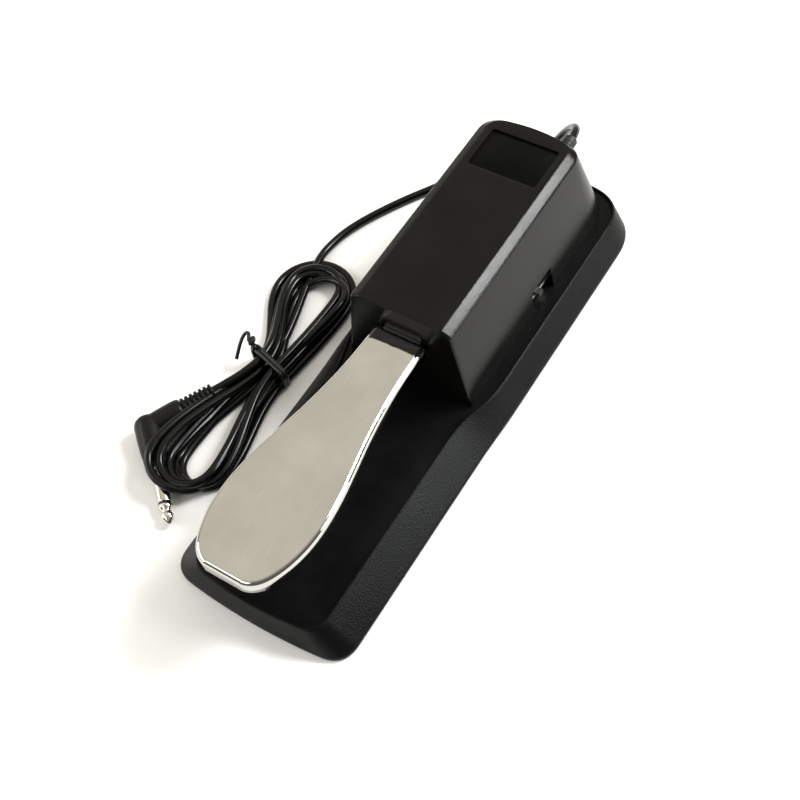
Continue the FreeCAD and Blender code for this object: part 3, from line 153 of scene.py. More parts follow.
@dataclass
class CordRoute:
    """The whole cord as one line: from the housing, round the tray, through the hank and to the plug."""

    tie: Point = (-64.0, -27.0, 0.0)
    tie_turn: float = -16.0
    fold_steps: int = 6
    side_steps: int = 4
    lead: tuple[Point, ...] = (
        (13.5, 118.0, 54.0),
        (12.8, 124.0, 53.2),
        (9.0, 130.5, 49.0),
        (2.5, 135.5, 39.5),
        (-4.5, 138.5, 27.0),
        (-11.5, 140.5, 14.5),
        (-20.0, 142.0, 5.0),
        (-31.0, 139.5, 2.1),
        (-44.0, 128.5, 2.1),
        (-50.5, 110.0, 2.1),
        (-65.6, 88.2, 2.1),
        (-78.5, 63.5, 2.1),
        (-82.0, 46.0, 2.1),
        (-80.5, 36.5, 3.2),
    )
    turns: tuple[Turn, ...] = (
        Turn(-80.0, -72.5, -48.6, -92.5, -51.8, 38.6, (-4.2, 8.4), (2.4, 2.1, 2.1, 2.1, 2.1, 2.1, 2.1)),
        Turn(-91.4, -77.0, -51.2, -95.5, -54.2, 34.2, (-8.4, 4.2), (2.1, 2.1, 6.0, 5.8, 5.6, 2.3, 5.9)),
        Turn(-86.4, -82.4, -54.6, -101.2, -57.0, 31.6, (-6.3, 6.3), (2.1, 5.8, 14.5, 10.4, 2.1, 5.8, 2.1)),
        Turn(-82.2, -79.0, -52.6, -97.8, -52.6, 29.6, (-2.1, 2.1), (5.9, 5.8, 12.9, 8.4, 9.4, 5.8, 9.6)),
        Turn(-78.6, -74.6, -49.8, -94.0, -58.4, 33.4, (0.0, 4.2), (2.1, 2.2, 2.1, 5.8, 5.9, 9.4, 5.9)),
    )
    last_down: float = -84.4
    last_slot: float = -4.4
    tail: tuple[Point, ...] = (
        (-71.4, -37.5, 9.4),
        (-74.8, -45.0, 9.5),
        (-76.6, -49.0, 9.6),
        (-78.8, -53.2, 9.4),
    )

    def across_tie(self, slot: float, height: float) -> Vector:
        """A place in the tie.

        Args:
            slot: the distance from the tie's middle, along it.
            height: the height above the floor.

        Returns:
            The place in millimetres.
        """
        turn = math.radians(self.tie_turn)
        return Vector((self.tie[0] + slot * math.cos(turn), self.tie[1] + slot * math.sin(turn), height))

    def swept(self, start: Vector, end: Vector, way_in: Vector, way_out: Vector, slack: float) -> list[Vector]:
        """The points between two places of a strand that leaves and arrives in given directions.

        Args:
            start: the first place.
            end: the last place.
            way_in: the direction at the start.
            way_out: the direction at the end.
            slack: how firmly the directions hold, as a share of the distance.

        Returns:
            The inner points, without either end.
        """
        reach = (end - start).length * slack
        found = []
        for step in range(1, self.side_steps):
            t = step / self.side_steps
            a = 2 * t**3 - 3 * t**2 + 1
            b = t**3 - 2 * t**2 + t
            c = 3 * t**2 - 2 * t**3
            d = t**3 - t**2
            found.append(start * a + way_in * (b * reach) + end * c + way_out * (d * reach))
        return found

    def fold(self, left: float, right: float, end: float, lifts: Sequence[float], lower: bool) -> list[Vector]:
        """The half turn at one end of a lobe.

        Args:
            left: the left side's place across.
            right: the right side's place across.
            end: the far end's place along.
            lifts: the heights at the start, the middle and the end.
            lower: whether this is the lower lobe's end, run from left to right, or the upper one's, run
                from right to left.

        Returns:
            The points of the half turn, both ends included.
        """
        radius = 0.5 * (right - left)
        middle = 0.5 * (right + left)
        level = end + radius if lower else end - radius
        found = []
        for step in range(self.fold_steps + 1):
            share = step / self.fold_steps
            angle = math.pi * ((1 + share) if lower else share)
            lift = (
                blend_number(lifts[0], lifts[1], 2 * share)
                if share < 0.5
                else blend_number(lifts[1], lifts[2], 2 * share - 1)
            )
            found.append(Vector((middle + radius * math.cos(angle), level + radius * math.sin(angle), lift)))
        return found

    def points(self) -> list[Vector]:
        """The control points of the whole cord.

        Returns:
            Points in millimetres.
        """
        found = [Vector(spot) for spot in self.lead]
        downward = Vector((0.0, -1.0, 0.0))
        through = Vector((-0.16, -1.0, 0.0))
        here = found[-1]
        way = Vector((0.12, -1.0, 0.0))
        for number, turn in enumerate(self.turns):
            crossing = self.across_tie(turn.slots[0], turn.lifts[1])
            found += self.swept(here, crossing, way, through, 0.95) + [crossing]
            low = self.fold(turn.left, turn.right, turn.bottom, turn.lifts[2:5], True)
            found += self.swept(crossing, low[0], through, downward, 0.95) + low
            crossing = self.across_tie(turn.slots[1], turn.lifts[5])
            found += self.swept(low[-1], crossing, -downward, -through, 0.95) + [crossing]
            following = self.turns[number + 1].down if number + 1 < len(self.turns) else self.last_down
            next_lift = self.turns[number + 1].lifts[0] if number + 1 < len(self.turns) else 6.0
            middle_lift = 0.5 * (turn.lifts[6] + next_lift)
            high = self.fold(following, turn.up, turn.top, (turn.lifts[6], middle_lift, next_lift), False)
            found += self.swept(crossing, high[0], -through, -downward, 0.95) + high
            here = high[-1]
            way = downward
        crossing = self.across_tie(self.last_slot, 9.4)
        found += self.swept(here, crossing, way, through, 0.95) + [crossing]
        found += [Vector(spot) for spot in self.tail]
        return found


def curve_object(name: str, spots: Sequence[Vector], radius: float, closed: bool = False) -> bpy.types.Object:
    """A round line through the row frame.

    Args:
        name: the object's name.
        spots: its control points in millimetres.
        radius: its radius in millimetres.
        closed: whether its ends meet.

    Returns:
        The curve object, linked to the scene.
    """
    data = bpy.data.curves.new(name, "CURVE")
    data.dimensions = "3D"
    data.bevel_depth = radius * MM
    data.bevel_resolution = 5
    data.resolution_u = 6
    data.use_fill_caps = True
    spline = data.splines.new("NURBS")
    spline.points.add(len(spots) - 1)
    for point, spot in zip(spline.points, spots):
        point.co = (*(spot * MM), 1.0)
    spline.order_u = 3
    spline.use_endpoint_u = not closed
    spline.use_cyclic_u = closed
    return placed(name, data)


def placed(name: str, data: bpy.types.ID | None) -> bpy.types.Object:
    """An object of some data, linked to the scene.

    Args:
        name: the object's name.
        data: its mesh, curve, light or camera.

    Returns:
        The object.
    """
    made = bpy.data.objects.new(name, data)
    bpy.context.scene.collection.objects.link(made)
    return made


def curve_mesh(line: bpy.types.Object, name: str, material: bpy.types.Material) -> bpy.types.Object:
    """A mesh object in place of a curve object, which is removed.

    Args:
        line: the curve object.
        name: the new object's name.
        material: its material.

    Returns:
        The mesh object, shaded smooth.
    """
    graph = bpy.context.evaluated_depsgraph_get()
    data = bpy.data.meshes.new_from_object(line.evaluated_get(graph))
    bpy.data.objects.remove(line)
    data.materials.clear()
    data.materials.append(material)
    made = placed(name, data)
    soften(made, 60.0)
    return made


# ------------------------------------------------------------------ finishes


class Kind(Enum):
    """The kinds of surface, which differ in how their shader is wired."""

    PLASTIC = "plastic"
    METAL = "metal"
    BOARD = "board"


@dataclass(frozen=True)
class Finish:
    """How a surface looks.

    Attributes:
        name: the material's name.
        kind: how its shader is wired.
        dark: its colour where it is darkest.
        light: its colour where it is lightest.
        smooth: its least roughness.
        rough: its greatest roughness.
        grain: the size of its grain in grains per metre.
        depth: the depth of its grain in metres.
        coat: the weight of its clear coat.
        scuffs: how much its scratches lighten it.
        specular: its specular level.
    """

    name: str
    kind: Kind
    dark: Point
    light: Point
    smooth: float
    rough: float
    grain: float = 1500.0
    depth: float = 0.00002
    coat: float = 0.0
    scuffs: float = 0.15
    specular: float = 0.5


TRAY = Finish(
    "tray_plastic", Kind.PLASTIC, (0.0022, 0.0022, 0.0024), (0.006, 0.006, 0.0064), 0.3, 0.4,
    depth=7e-5, scuffs=0.1, specular=0.16,
)
COVER = Finish(
    "cover_plastic", Kind.PLASTIC, (0.0024, 0.0022, 0.0019), (0.006, 0.0056, 0.005), 0.19, 0.27,
    grain=1700, depth=4e-5, scuffs=0.1, specular=0.26,
)
PLATE = Finish(
    "plate_plastic", Kind.PLASTIC, (0.0012, 0.0012, 0.0011), (0.003, 0.003, 0.0027), 0.3, 0.42,
    grain=900, depth=8e-6, scuffs=0.1, specular=0.1,
)
SOLE = Finish(
    "sole_rubber", Kind.PLASTIC, (0.006, 0.006, 0.006), (0.016, 0.016, 0.016), 0.62, 0.8,
    grain=900, depth=6e-5, scuffs=0.1, specular=0.3,
)
CHROME = Finish(
    "foot_chrome", Kind.METAL, (0.57, 0.56, 0.535), (0.64, 0.63, 0.61), 0.035, 0.085,
    grain=260, depth=1.2e-6, scuffs=0.2,
)
NICKEL = Finish(
    "nickel", Kind.METAL, (0.62, 0.59, 0.52), (0.84, 0.81, 0.74), 0.12, 0.24,
    grain=700, depth=3e-6, scuffs=0.3,
)
STEEL = Finish(
    "plain_steel", Kind.METAL, (0.34, 0.34, 0.35), (0.52, 0.52, 0.53), 0.3, 0.46,
    grain=900, depth=8e-6,
)
ZINC = Finish(
    "zinc_steel", Kind.METAL, (0.5, 0.51, 0.54), (0.74, 0.74, 0.76), 0.2, 0.34,
    grain=800, depth=5e-6,
)
BRASS = Finish(
    "terminal_brass", Kind.METAL, (0.6, 0.46, 0.2), (0.85, 0.7, 0.42), 0.2, 0.36,
    grain=600, depth=4e-6,
)
NYLON = Finish(
    "white_nylon", Kind.PLASTIC, (0.6, 0.58, 0.52), (0.76, 0.74, 0.68), 0.38, 0.5,
    grain=1100, depth=1e-5,
)
PAD = Finish(
    "pad_rubber", Kind.PLASTIC, (0.02, 0.02, 0.02), (0.045, 0.045, 0.045), 0.6, 0.78,
    grain=1200, depth=4e-5,
)
SWITCH = Finish(
    "switch_plastic", Kind.PLASTIC, (0.02, 0.02, 0.022), (0.045, 0.045, 0.05), 0.35, 0.5,
    grain=1300, depth=1.5e-5,
)
KNOB = Finish(
    "knob_plastic", Kind.PLASTIC, (0.03, 0.03, 0.032), (0.09, 0.09, 0.095), 0.2, 0.34,
    grain=1600, depth=1.5e-5, coat=0.2,
)
BOARD = Finish(
    "board_laminate", Kind.BOARD, (0.42, 0.45, 0.46), (0.6, 0.63, 0.64), 0.24, 0.36,
    grain=500, coat=0.4,
)
WIRE = Finish(
    "wire_pvc", Kind.PLASTIC, (0.3, 0.015, 0.012), (0.5, 0.03, 0.022), 0.25, 0.38,
    grain=800, depth=6e-6,
)
CORD = Finish(
    "cord_pvc", Kind.PLASTIC, (0.0012, 0.0012, 0.0012), (0.0032, 0.0032, 0.0032), 0.17, 0.25,
    grain=700, depth=6e-6, coat=0.05, scuffs=0.1, specular=0.34,
)
TIE = Finish(
    "tie_plastic", Kind.PLASTIC, (0.004, 0.004, 0.004), (0.009, 0.009, 0.009), 0.22, 0.34,
    grain=900, depth=8e-6, coat=0.1, scuffs=0.1,
)
GLAND = Finish(
    "gland_rubber", Kind.PLASTIC, (0.008, 0.008, 0.008), (0.018, 0.018, 0.018), 0.4, 0.55,
    grain=1300, depth=2.5e-5,
)
PLUG = Finish(
    "plug_plastic", Kind.PLASTIC, (0.004, 0.004, 0.0037), (0.0095, 0.0093, 0.0085), 0.34, 0.5,
    grain=1400, depth=4e-5, scuffs=0.1, specular=0.3,
)
RING = Finish(
    "ring_plastic", Kind.PLASTIC, (0.004, 0.004, 0.004), (0.01, 0.01, 0.01), 0.2, 0.32,
    grain=900, depth=4e-6,
)

FINISHED_NODES: tuple[tuple[Finish, tuple[str, ...]], ...] = (
    (STEEL, ("ballast_plate", "pivot_bracket", "lever_arm", "actuator_tab")),
    (ZINC, ("cover_screws", "bracket_screws", "pivot_shaft", "shaft_clips", "arm_rivets", "tab_rivet")),
    (ZINC, ("switch_screws", "board_screws", "clamp_screws")),
    (NYLON, ("lever_bushings", "spring_stud", "spring_cup", "switch_plunger", "cord_clamp")),
    (PAD, ("rest_pad", "stop_pad")),
    (SWITCH, ("lever_switch", "polarity_switch")),
    (BRASS, ("switch_terminals",)),
    (BOARD, ("circuit_board",)),
    (NICKEL, ("polarity_frame",)),
    (KNOB, ("polarity_knob",)),
    (WIRE, ("switch_wires",)),
    (CORD, ("inner_cord",)),
    (RING, ("plug_insulator",)),
)


def add_node(
    tree: bpy.types.NodeTree, kind: str, values: dict | None = None, **settings: object
) -> bpy.types.Node:
    """Adds a node with its settings and the values of its sockets.

    Args:
        tree: the node tree.
        kind: the node's type.
        values: values by the socket's name or number.
        settings: the node's own properties.

    Returns:
        The node.
    """
    node = tree.nodes.new(kind)
    for name, value in settings.items():
        setattr(node, name, value)
    for key, value in (values or {}).items():
        node.inputs[key].default_value = value
    return node


def link(tree: bpy.types.NodeTree, *pairs: tuple[bpy.types.NodeSocket, bpy.types.NodeSocket]) -> None:
    """Links output sockets to input sockets.

    Args:
        tree: the node tree.
        pairs: each output with its input.
    """
    for source, sink in pairs:
        tree.links.new(source, sink)


class ShaderGroups:
    """The node groups that the materials share. Their outputs are masks and heights only."""

    def __init__(self) -> None:
        self.grain = self._grain()
        self.scuff = self._scuff()
        self.streak = self._streak()

    @staticmethod
    def _start(
        name: str, inputs: dict[str, float], outputs: Sequence[str]
    ) -> tuple[bpy.types.NodeTree, bpy.types.Node, bpy.types.Node, bpy.types.NodeSocket]:
        """A group with number sockets and object coordinates.

        Args:
            name: the group's name.
            inputs: default values of its inputs by name.
            outputs: names of its outputs.

        Returns:
            The group, its input and output nodes and the coordinates' socket.
        """
        group = bpy.data.node_groups.new(name, "ShaderNodeTree")
        for label, value in inputs.items():
            socket = group.interface.new_socket(label, in_out="INPUT", socket_type="NodeSocketFloat")
            socket.default_value = value
        for label in outputs:
            group.interface.new_socket(label, in_out="OUTPUT", socket_type="NodeSocketFloat")
        source = add_node(group, "NodeGroupInput")
        sink = add_node(group, "NodeGroupOutput")
        place = add_node(group, "ShaderNodeTexCoord")
        return group, source, sink, place.outputs["Object"]

    def _grain(self) -> bpy.types.NodeTree:
        """A moulded grain: pebbles of two sizes, and a slow drift of tone.

        Returns:
            The group.
        """
        group, source, sink, place = self._start("moulded_grain", {"Scale": 1500.0}, ("Height", "Tone"))
        cells = add_node(group, "ShaderNodeTexVoronoi", {"Smoothness": 0.6}, feature="SMOOTH_F1")
        fine = add_node(group, "ShaderNodeTexNoise", {"Detail": 3.0})
        slow = add_node(group, "ShaderNodeTexNoise", {"Scale": 34.0, "Detail": 5.0, "Roughness": 0.62})
        finer = add_node(group, "ShaderNodeMath", {1: 2.3}, operation="MULTIPLY")
        total = add_node(group, "ShaderNodeMath", {1: 0.55}, operation="MULTIPLY_ADD")
        spread = add_node(group, "ShaderNodeMapRange", {"From Min": 0.32, "From Max": 0.68})
        link(
            group,
            *((place, node.inputs["Vector"]) for node in (cells, fine, slow)),
            (source.outputs["Scale"], cells.inputs["Scale"]),
            (source.outputs["Scale"], finer.inputs[0]),
            (finer.outputs[0], fine.inputs["Scale"]),
            (fine.outputs["Fac"], total.inputs[0]),
            (cells.outputs["Distance"], total.inputs[2]),
            (total.outputs[0], sink.inputs["Height"]),
            (slow.outputs["Fac"], spread.inputs["Value"]),
            (spread.outputs["Result"], sink.inputs["Tone"]),
        )
        return group

    def _scuff(self) -> bpy.types.NodeTree:
        """Sparse hairline scratches in three directions, as a mask.

        Returns:
            The group.
        """
        group, source, sink, place = self._start("scratches", {"Density": 0.5}, ("Mask",))
        total = None
        for angle, stretch in ((0.5, 9.0), (-0.9, 14.0), (1.4, 11.0)):
            values = {"Rotation": (0.0, 0.0, angle), "Scale": (120.0 * stretch, 60.0, 60.0)}
            turned = add_node(group, "ShaderNodeMapping", values)
            noise = add_node(group, "ShaderNodeTexNoise", {"Scale": 1.0, "Detail": 2.0})
            line = add_node(group, "ShaderNodeMapRange", {"From Min": 0.70, "From Max": 0.78})
            link(
                group,
                (place, turned.inputs["Vector"]),
                (turned.outputs["Vector"], noise.inputs["Vector"]),
                (noise.outputs["Fac"], line.inputs["Value"]),
            )
            if total is None:
                total = line.outputs["Result"]
            else:
                either = add_node(group, "ShaderNodeMath", operation="MAXIMUM")
                link(group, (total, either.inputs[0]), (line.outputs["Result"], either.inputs[1]))
                total = either.outputs[0]
        scaled = add_node(group, "ShaderNodeMath", operation="MULTIPLY", use_clamp=True)
        link(
            group,
            (total, scaled.inputs[0]),
            (source.outputs["Density"], scaled.inputs[1]),
            (scaled.outputs[0], sink.inputs["Mask"]),
        )
        return group

    def _streak(self) -> bpy.types.NodeTree:
        """The fine parallel lines of rolled or polished metal.

        Returns:
            The group.
        """
        group, source, sink, place = self._start("rolled_lines", {"Scale": 900.0}, ("Height", "Tone"))
        thin = add_node(group, "ShaderNodeMapping", {"Scale": (1.0, 0.035, 0.3)})
        fine = add_node(group, "ShaderNodeTexNoise", {"Detail": 4.0})
        wide = add_node(group, "ShaderNodeTexNoise", {"Scale": 46.0, "Detail": 4.0})
        spread = add_node(group, "ShaderNodeMapRange", {"From Min": 0.34, "From Max": 0.66})
        link(
            group,
            (place, thin.inputs["Vector"]),
            (thin.outputs["Vector"], fine.inputs["Vector"]),
            (source.outputs["Scale"], fine.inputs["Scale"]),
            (place, wide.inputs["Vector"]),
            (wide.outputs["Fac"], spread.inputs["Value"]),
            (fine.outputs["Fac"], sink.inputs["Height"]),
            (spread.outputs["Result"], sink.inputs["Tone"]),
        )
        return group


class Materials:
    """Makes each finish's material once, and hands it out."""

    def __init__(self) -> None:
        self.groups = ShaderGroups()
        self.made: dict[str, bpy.types.Material] = {}

    def get(self, finish: Finish) -> bpy.types.Material:
        """The material of a finish.

        Args:
            finish: the finish.

        Returns:
            Its material.
        """
        if finish.name not in self.made:
            self.made[finish.name] = self._build(finish)
        return self.made[finish.name]

    def _build(self, finish: Finish) -> bpy.types.Material:
        """Wires a finish's material.

        Args:
            finish: the finish.

        Returns:
            The new material.
        """
        material = bpy.data.materials.new(finish.name)
        material.use_nodes = True
        tree = material.node_tree
        shader = tree.nodes["Principled BSDF"]
        metal = finish.kind is Kind.METAL
        shader.inputs["Metallic"].default_value = 1.0 if metal else 0.0
        shader.inputs["Coat Weight"].default_value = finish.coat
        shader.inputs["Coat Roughness"].default_value = 0.12
        shader.inputs["Specular IOR Level"].default_value = finish.specular
        pattern = self.groups.streak if metal else self.groups.grain
        texture = add_node(tree, "ShaderNodeGroup", node_tree=pattern)
        texture.inputs["Scale"].default_value = finish.grain
        scratches = add_node(tree, "ShaderNodeGroup", node_tree=self.groups.scuff)
        scratches.inputs["Density"].default_value = finish.scuffs
        ends = {6: (*finish.dark, 1.0), 7: (*finish.light, 1.0)}
        tones = add_node(tree, "ShaderNodeMix", ends, data_type="RGBA")
        paler = (*(min(1.0, 1.6 * c + 0.01) for c in finish.light), 1.0)
        worn = add_node(tree, "ShaderNodeMix", {7: paler}, data_type="RGBA")
        limits = {"To Min": finish.smooth, "To Max": finish.rough}
        polish = add_node(tree, "ShaderNodeMapRange", limits)
        relief = add_node(tree, "ShaderNodeBump", {"Distance": finish.depth, "Strength": 1.0})
        colour = tones.outputs[2]
        if finish.kind is Kind.BOARD:
            colour = self._tracks(tree, colour)
        link(
            tree,
            (texture.outputs["Tone"], tones.inputs[0]),
            (colour, worn.inputs[6]),
            (scratches.outputs["Mask"], worn.inputs[0]),
            (worn.outputs[2], shader.inputs["Base Color"]),
            (texture.outputs["Tone"], polish.inputs["Value"]),
            (polish.outputs["Result"], shader.inputs["Roughness"]),
            (texture.outputs["Height"], relief.inputs["Height"]),
            (relief.outputs["Normal"], shader.inputs["Normal"]),
        )
        return material

    @staticmethod
    def _tracks(tree: bpy.types.NodeTree, colour: bpy.types.NodeSocket) -> bpy.types.NodeSocket:
        """Tracks that show through a board's lacquer.

        Args:
            tree: the material's nodes.
            colour: the lacquer's colour.

        Returns:
            The colour with the tracks in it.
        """
        black, white = (0.0, 0.0, 0.0, 1.0), (1.0, 1.0, 1.0, 1.0)
        values = {"Scale": 320.0, "Mortar Size": 0.09, "Color1": black, "Color2": black, "Mortar": white}
        tracks = add_node(tree, "ShaderNodeTexBrick", values)
        mixed = add_node(tree, "ShaderNodeMix", {7: (0.68, 0.68, 0.62, 1.0)}, data_type="RGBA")
        place = add_node(tree, "ShaderNodeTexCoord")
        link(
            tree,
            (place.outputs["Object"], tracks.inputs["Vector"]),
            (tracks.outputs["Color"], mixed.inputs[0]),
            (colour, mixed.inputs[6]),
        )
        return mixed.outputs[2]


# ------------------------------------------------------------------ meshes


@dataclass
class Mesh:
    """Vertices in millimetres and faces, built up part by part."""

    verts: list[Vector] = field(default_factory=list)
    faces: list[tuple[int, ...]] = field(default_factory=list)

    def skin(self, rings: Sequence[Sequence[Vector]], caps: tuple[bool, bool] = (True, True)) -> None:
        """Adds a skin over closed rings of equal count, run anticlockwise about the way they climb.

        Args:
            rings: the rings in order.
            caps: whether the first and last rings are closed with a flat face.
        """
        start = len(self.verts)
        count = len(rings[0])
        for ring in rings:
            self.verts += ring
        for level in range(len(rings) - 1):
            low = start + level * count
            high = low + count
            for n in range(count):
                m = (n + 1) % count
                self.faces.append((low + n, low + m, high + m, high + n))
        if caps[0]:
            self.faces.append(tuple(start + n for n in reversed(range(count))))
        if caps[1]:
            top = start + (len(rings) - 1) * count
            self.faces.append(tuple(top + n for n in range(count)))

    def turned(
        self, profile: Sequence[tuple[float, float]], origin: Vector, axis: Vector, steps: int = 48
    ) -> None:
        """Adds a closed turned shape.

        Args:
            profile: radius and distance along the axis, of which no radius is zero.
            origin: where the axis starts.
            axis: its direction.
            steps: the number of steps round it.
        """
        turn = Vector((0, 0, 1)).rotation_difference(axis).to_matrix()
        angles = [2 * math.pi * n / steps for n in range(steps)]
        self.skin(
            [
                [origin + turn @ Vector((radius * math.cos(a), radius * math.sin(a), along)) for a in angles]
                for radius, along in profile
            ]
        )

    def block(self, low: Point, high: Point, bevel: float = 0.4) -> None:
        """Adds an upright block with bevelled upper edges.

        Args:
            low: its lowest corner.
            high: its highest corner.
            bevel: the width of the bevel.
        """
        rings = []
        for z, inset in ((low[2], 0.0), (high[2] - bevel, 0.0), (high[2], bevel)):
            left, near = low[0] + inset, low[1] + inset
            right, far = high[0] - inset, high[1] - inset
            corners = ((left, near), (right, near), (right, far), (left, far))
            rings.append([Vector((x, y, z)) for x, y in corners])
        self.skin(rings)

    def piece(self, name: str, material: bpy.types.Material, sharp: float = 32.0) -> bpy.types.Object:
        """Makes the object, smooth except where faces meet at more than an angle.

        Args:
            name: the object's name.
            material: its material.
            sharp: that angle in degrees.

        Returns:
            The object, linked to the scene.
        """
        data = bpy.data.meshes.new(name)
        data.from_pydata([v * MM for v in self.verts], [], self.faces)
        data.validate()
        data.materials.append(material)
        made = placed(name, data)
        soften(made, sharp)
        return made


def soften(piece: bpy.types.Object, sharp: float) -> None:
    """Shades a mesh smooth except at its sharp edges.

    Args:
        piece: the mesh object.
        sharp: the angle in degrees above which an edge stays sharp.
    """
    for face in piece.data.polygons:
        face.use_smooth = True
    piece.data.set_sharp_from_angle(angle=math.radians(sharp))


def settle(piece: bpy.types.Object) -> None:
    """Replaces a piece's mesh with what its modifiers make of it, and removes them.

    Args:
        piece: the object.
    """
    graph = bpy.context.evaluated_depsgraph_get()
    data = bpy.data.meshes.new_from_object(piece.evaluated_get(graph))
    piece.modifiers.clear()
    piece.data = data


def carve(piece: bpy.types.Object, tools: Sequence[bpy.types.Object], bevel: float) -> None:
    """Cuts some pieces out of another and softens the new edges.

    Args:
        piece: the piece to cut.
        tools: the pieces to cut out, which are removed.
        bevel: the width of the softening in millimetres.
    """
    piece.modifiers.new("flat faces", "TRIANGULATE")
    for tool in tools:
        cutter = piece.modifiers.new("cut", "BOOLEAN")
        cutter.operation = "DIFFERENCE"
        cutter.solver = "EXACT"
        cutter.object = tool
    settle(piece)
    for tool in tools:
        bpy.data.objects.remove(tool)
    if bevel:
        edge = piece.modifiers.new("edge", "BEVEL")
        edge.width = bevel * MM
        edge.segments = 2
        edge.limit_method = "ANGLE"
        edge.angle_limit = math.radians(50)
        edge.use_clamp_overlap = True
        settle(piece)
    soften(piece, 32.0)


def bezier(poles: Sequence[Vector], steps: int) -> list[Vector]:
    """Points along a Bezier curve, without its last.

    Args:
        poles: its control points.
        steps: the number of points.

    Returns:
        The points.
    """
    found = []
    for step in range(steps):
        row = list(poles)
        while len(row) > 1:
            row = [a.lerp(b, step / steps) for a, b in zip(row, row[1:])]
        found.append(row[0])
    return found


@dataclass(frozen=True)
class Outline:
    """A closed outline at one height, as the tray and the housing have: a bowed front and rear, sides
    that may spread, and four smooth corners. All in millimetres."""

    z: float
    front: float
    rear: float
    bow_front: float
    bow_rear: float
    half_front: float
    half_rear: float
    corner_front: float
    corner_rear: float
    waist: tuple[float, float] = (-26.6, 13.4)

    def toward(self, other: "Outline", share: float) -> "Outline":
        """The outline a share of the way to another.

        Args:
            other: the other outline.
            share: the share.

        Returns:
            The outline between them.
        """
        names = (
            "z", "front", "rear", "bow_front", "bow_rear", "half_front", "half_rear", "corner_front",
            "corner_rear",
        )
        return Outline(*(blend_number(getattr(self, n), getattr(other, n), share) for n in names), self.waist)

    def inset(self, amount: float, z: float | None = None) -> "Outline":
        """The outline drawn in evenly.

        Args:
            amount: how far.
            z: its height, if that changes too.

        Returns:
            The smaller outline.
        """
        return Outline(
            self.z if z is None else z,
            self.front + amount,
            self.rear - amount,
            self.bow_front,
            self.bow_rear,
            self.half_front - amount,
            self.half_rear - amount,
            max(self.corner_front - 0.5 * amount, 0.6),
            max(self.corner_rear - 0.5 * amount, 2.0),
            self.waist,
        )

    def _side(self) -> list[Vector]:
        """The right-hand half, from the middle of the front to the middle of the rear.

        Returns:
            Its points.
        """

        def bowed(y: float, bow: float, half: float, corner: float, forward: float) -> Point:
            x = half - corner
            end = y + forward * bow * (x / half) ** 2
            return x, end, end + forward * 2.0 * bow * x / half**2 * corner

        z = self.z
        fx, fy, fp = bowed(self.front, self.bow_front, self.half_front, self.corner_front, 1.0)
        rx, ry, rp = bowed(self.rear, self.bow_rear, self.half_rear, self.corner_rear, -1.0)
        start, end = self.waist
        middle = 0.5 * (start + end)
        side_front = fp + self.corner_front
        side_rear = rp - self.corner_rear
        a, b = self.half_front, self.half_rear
        found = []
        for step in range(10):
            x = fx * step / 10
            found.append(Vector((x, self.front + (fy - self.front) * (step / 10) ** 2, z)))
        found += bezier((Vector((fx, fy, z)), Vector((a, fp, z)), Vector((a, side_front, z))), 12)
        if side_front < start and a != b:
            found.append(Vector((a, side_front, z)))
            found += bezier(
                (Vector((a, start, z)), Vector((a, middle, z)), Vector((b, middle, z)), Vector((b, end, z))), 16
            )
            found.append(Vector((b, end, z)))
        else:
            for step in range(18):
                share = step / 18
                found.append(Vector((blend_number(a, b, share), blend_number(side_front, side_rear, share), z)))
        found += bezier((Vector((b, side_rear, z)), Vector((b, rp, z)), Vector((rx, ry, z))), 16)
        for step in range(11):
            share = 1 - step / 10
            found.append(Vector((rx * share, self.rear + (ry - self.rear) * share**2, z)))
        return found

    def ring(self) -> list[Vector]:
        """The whole outline, anticlockwise from the middle of the front.

        Returns:
            Its points.
        """
        right = self._side()
        left = [Vector((-p.x, p.y, p.z)) for p in reversed(right[1:-1])]
        return right + left


def filleted(levels: Sequence[tuple[Outline, float]], steps: int = 5) -> list[Outline]:
    """Outlines over a chain of levels whose edges are rounded.

    Args:
        levels: each outline and the share of the neighbouring stretch that its rounding takes, as a
            length in millimetres; zero keeps the edge.
        steps: the number of steps in a rounding.

    Returns:
        The outlines in order.
    """

    def distance(a: Outline, b: Outline) -> float:
        return math.dist((a.z, a.half_rear, a.rear), (b.z, b.half_rear, b.rear))

    found = []
    for number, (here, round_) in enumerate(levels):
        if round_ == 0 or number in (0, len(levels) - 1):
            found.append(here)
            continue
        before, after = levels[number - 1][0], levels[number + 1][0]
        start = here.toward(before, min(0.48, round_ / distance(here, before)))
        end = here.toward(after, min(0.48, round_ / distance(here, after)))
        for step in range(steps + 1):
            t = step / steps
            found.append(start.toward(here, t).toward(here.toward(end, t), t))
    return found


def show(piece: bpy.types.Object, body: Body, nodes: Sequence[str]) -> bpy.types.Object:
    """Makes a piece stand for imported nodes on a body.

    Args:
        piece: the piece.
        body: the body that it rides on.
        nodes: the nodes that it stands for.

    Returns:
        The piece.
    """
    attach(piece, body.value)
    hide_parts(*nodes)
    return piece


# ------------------------------------------------------------------ tray and sole


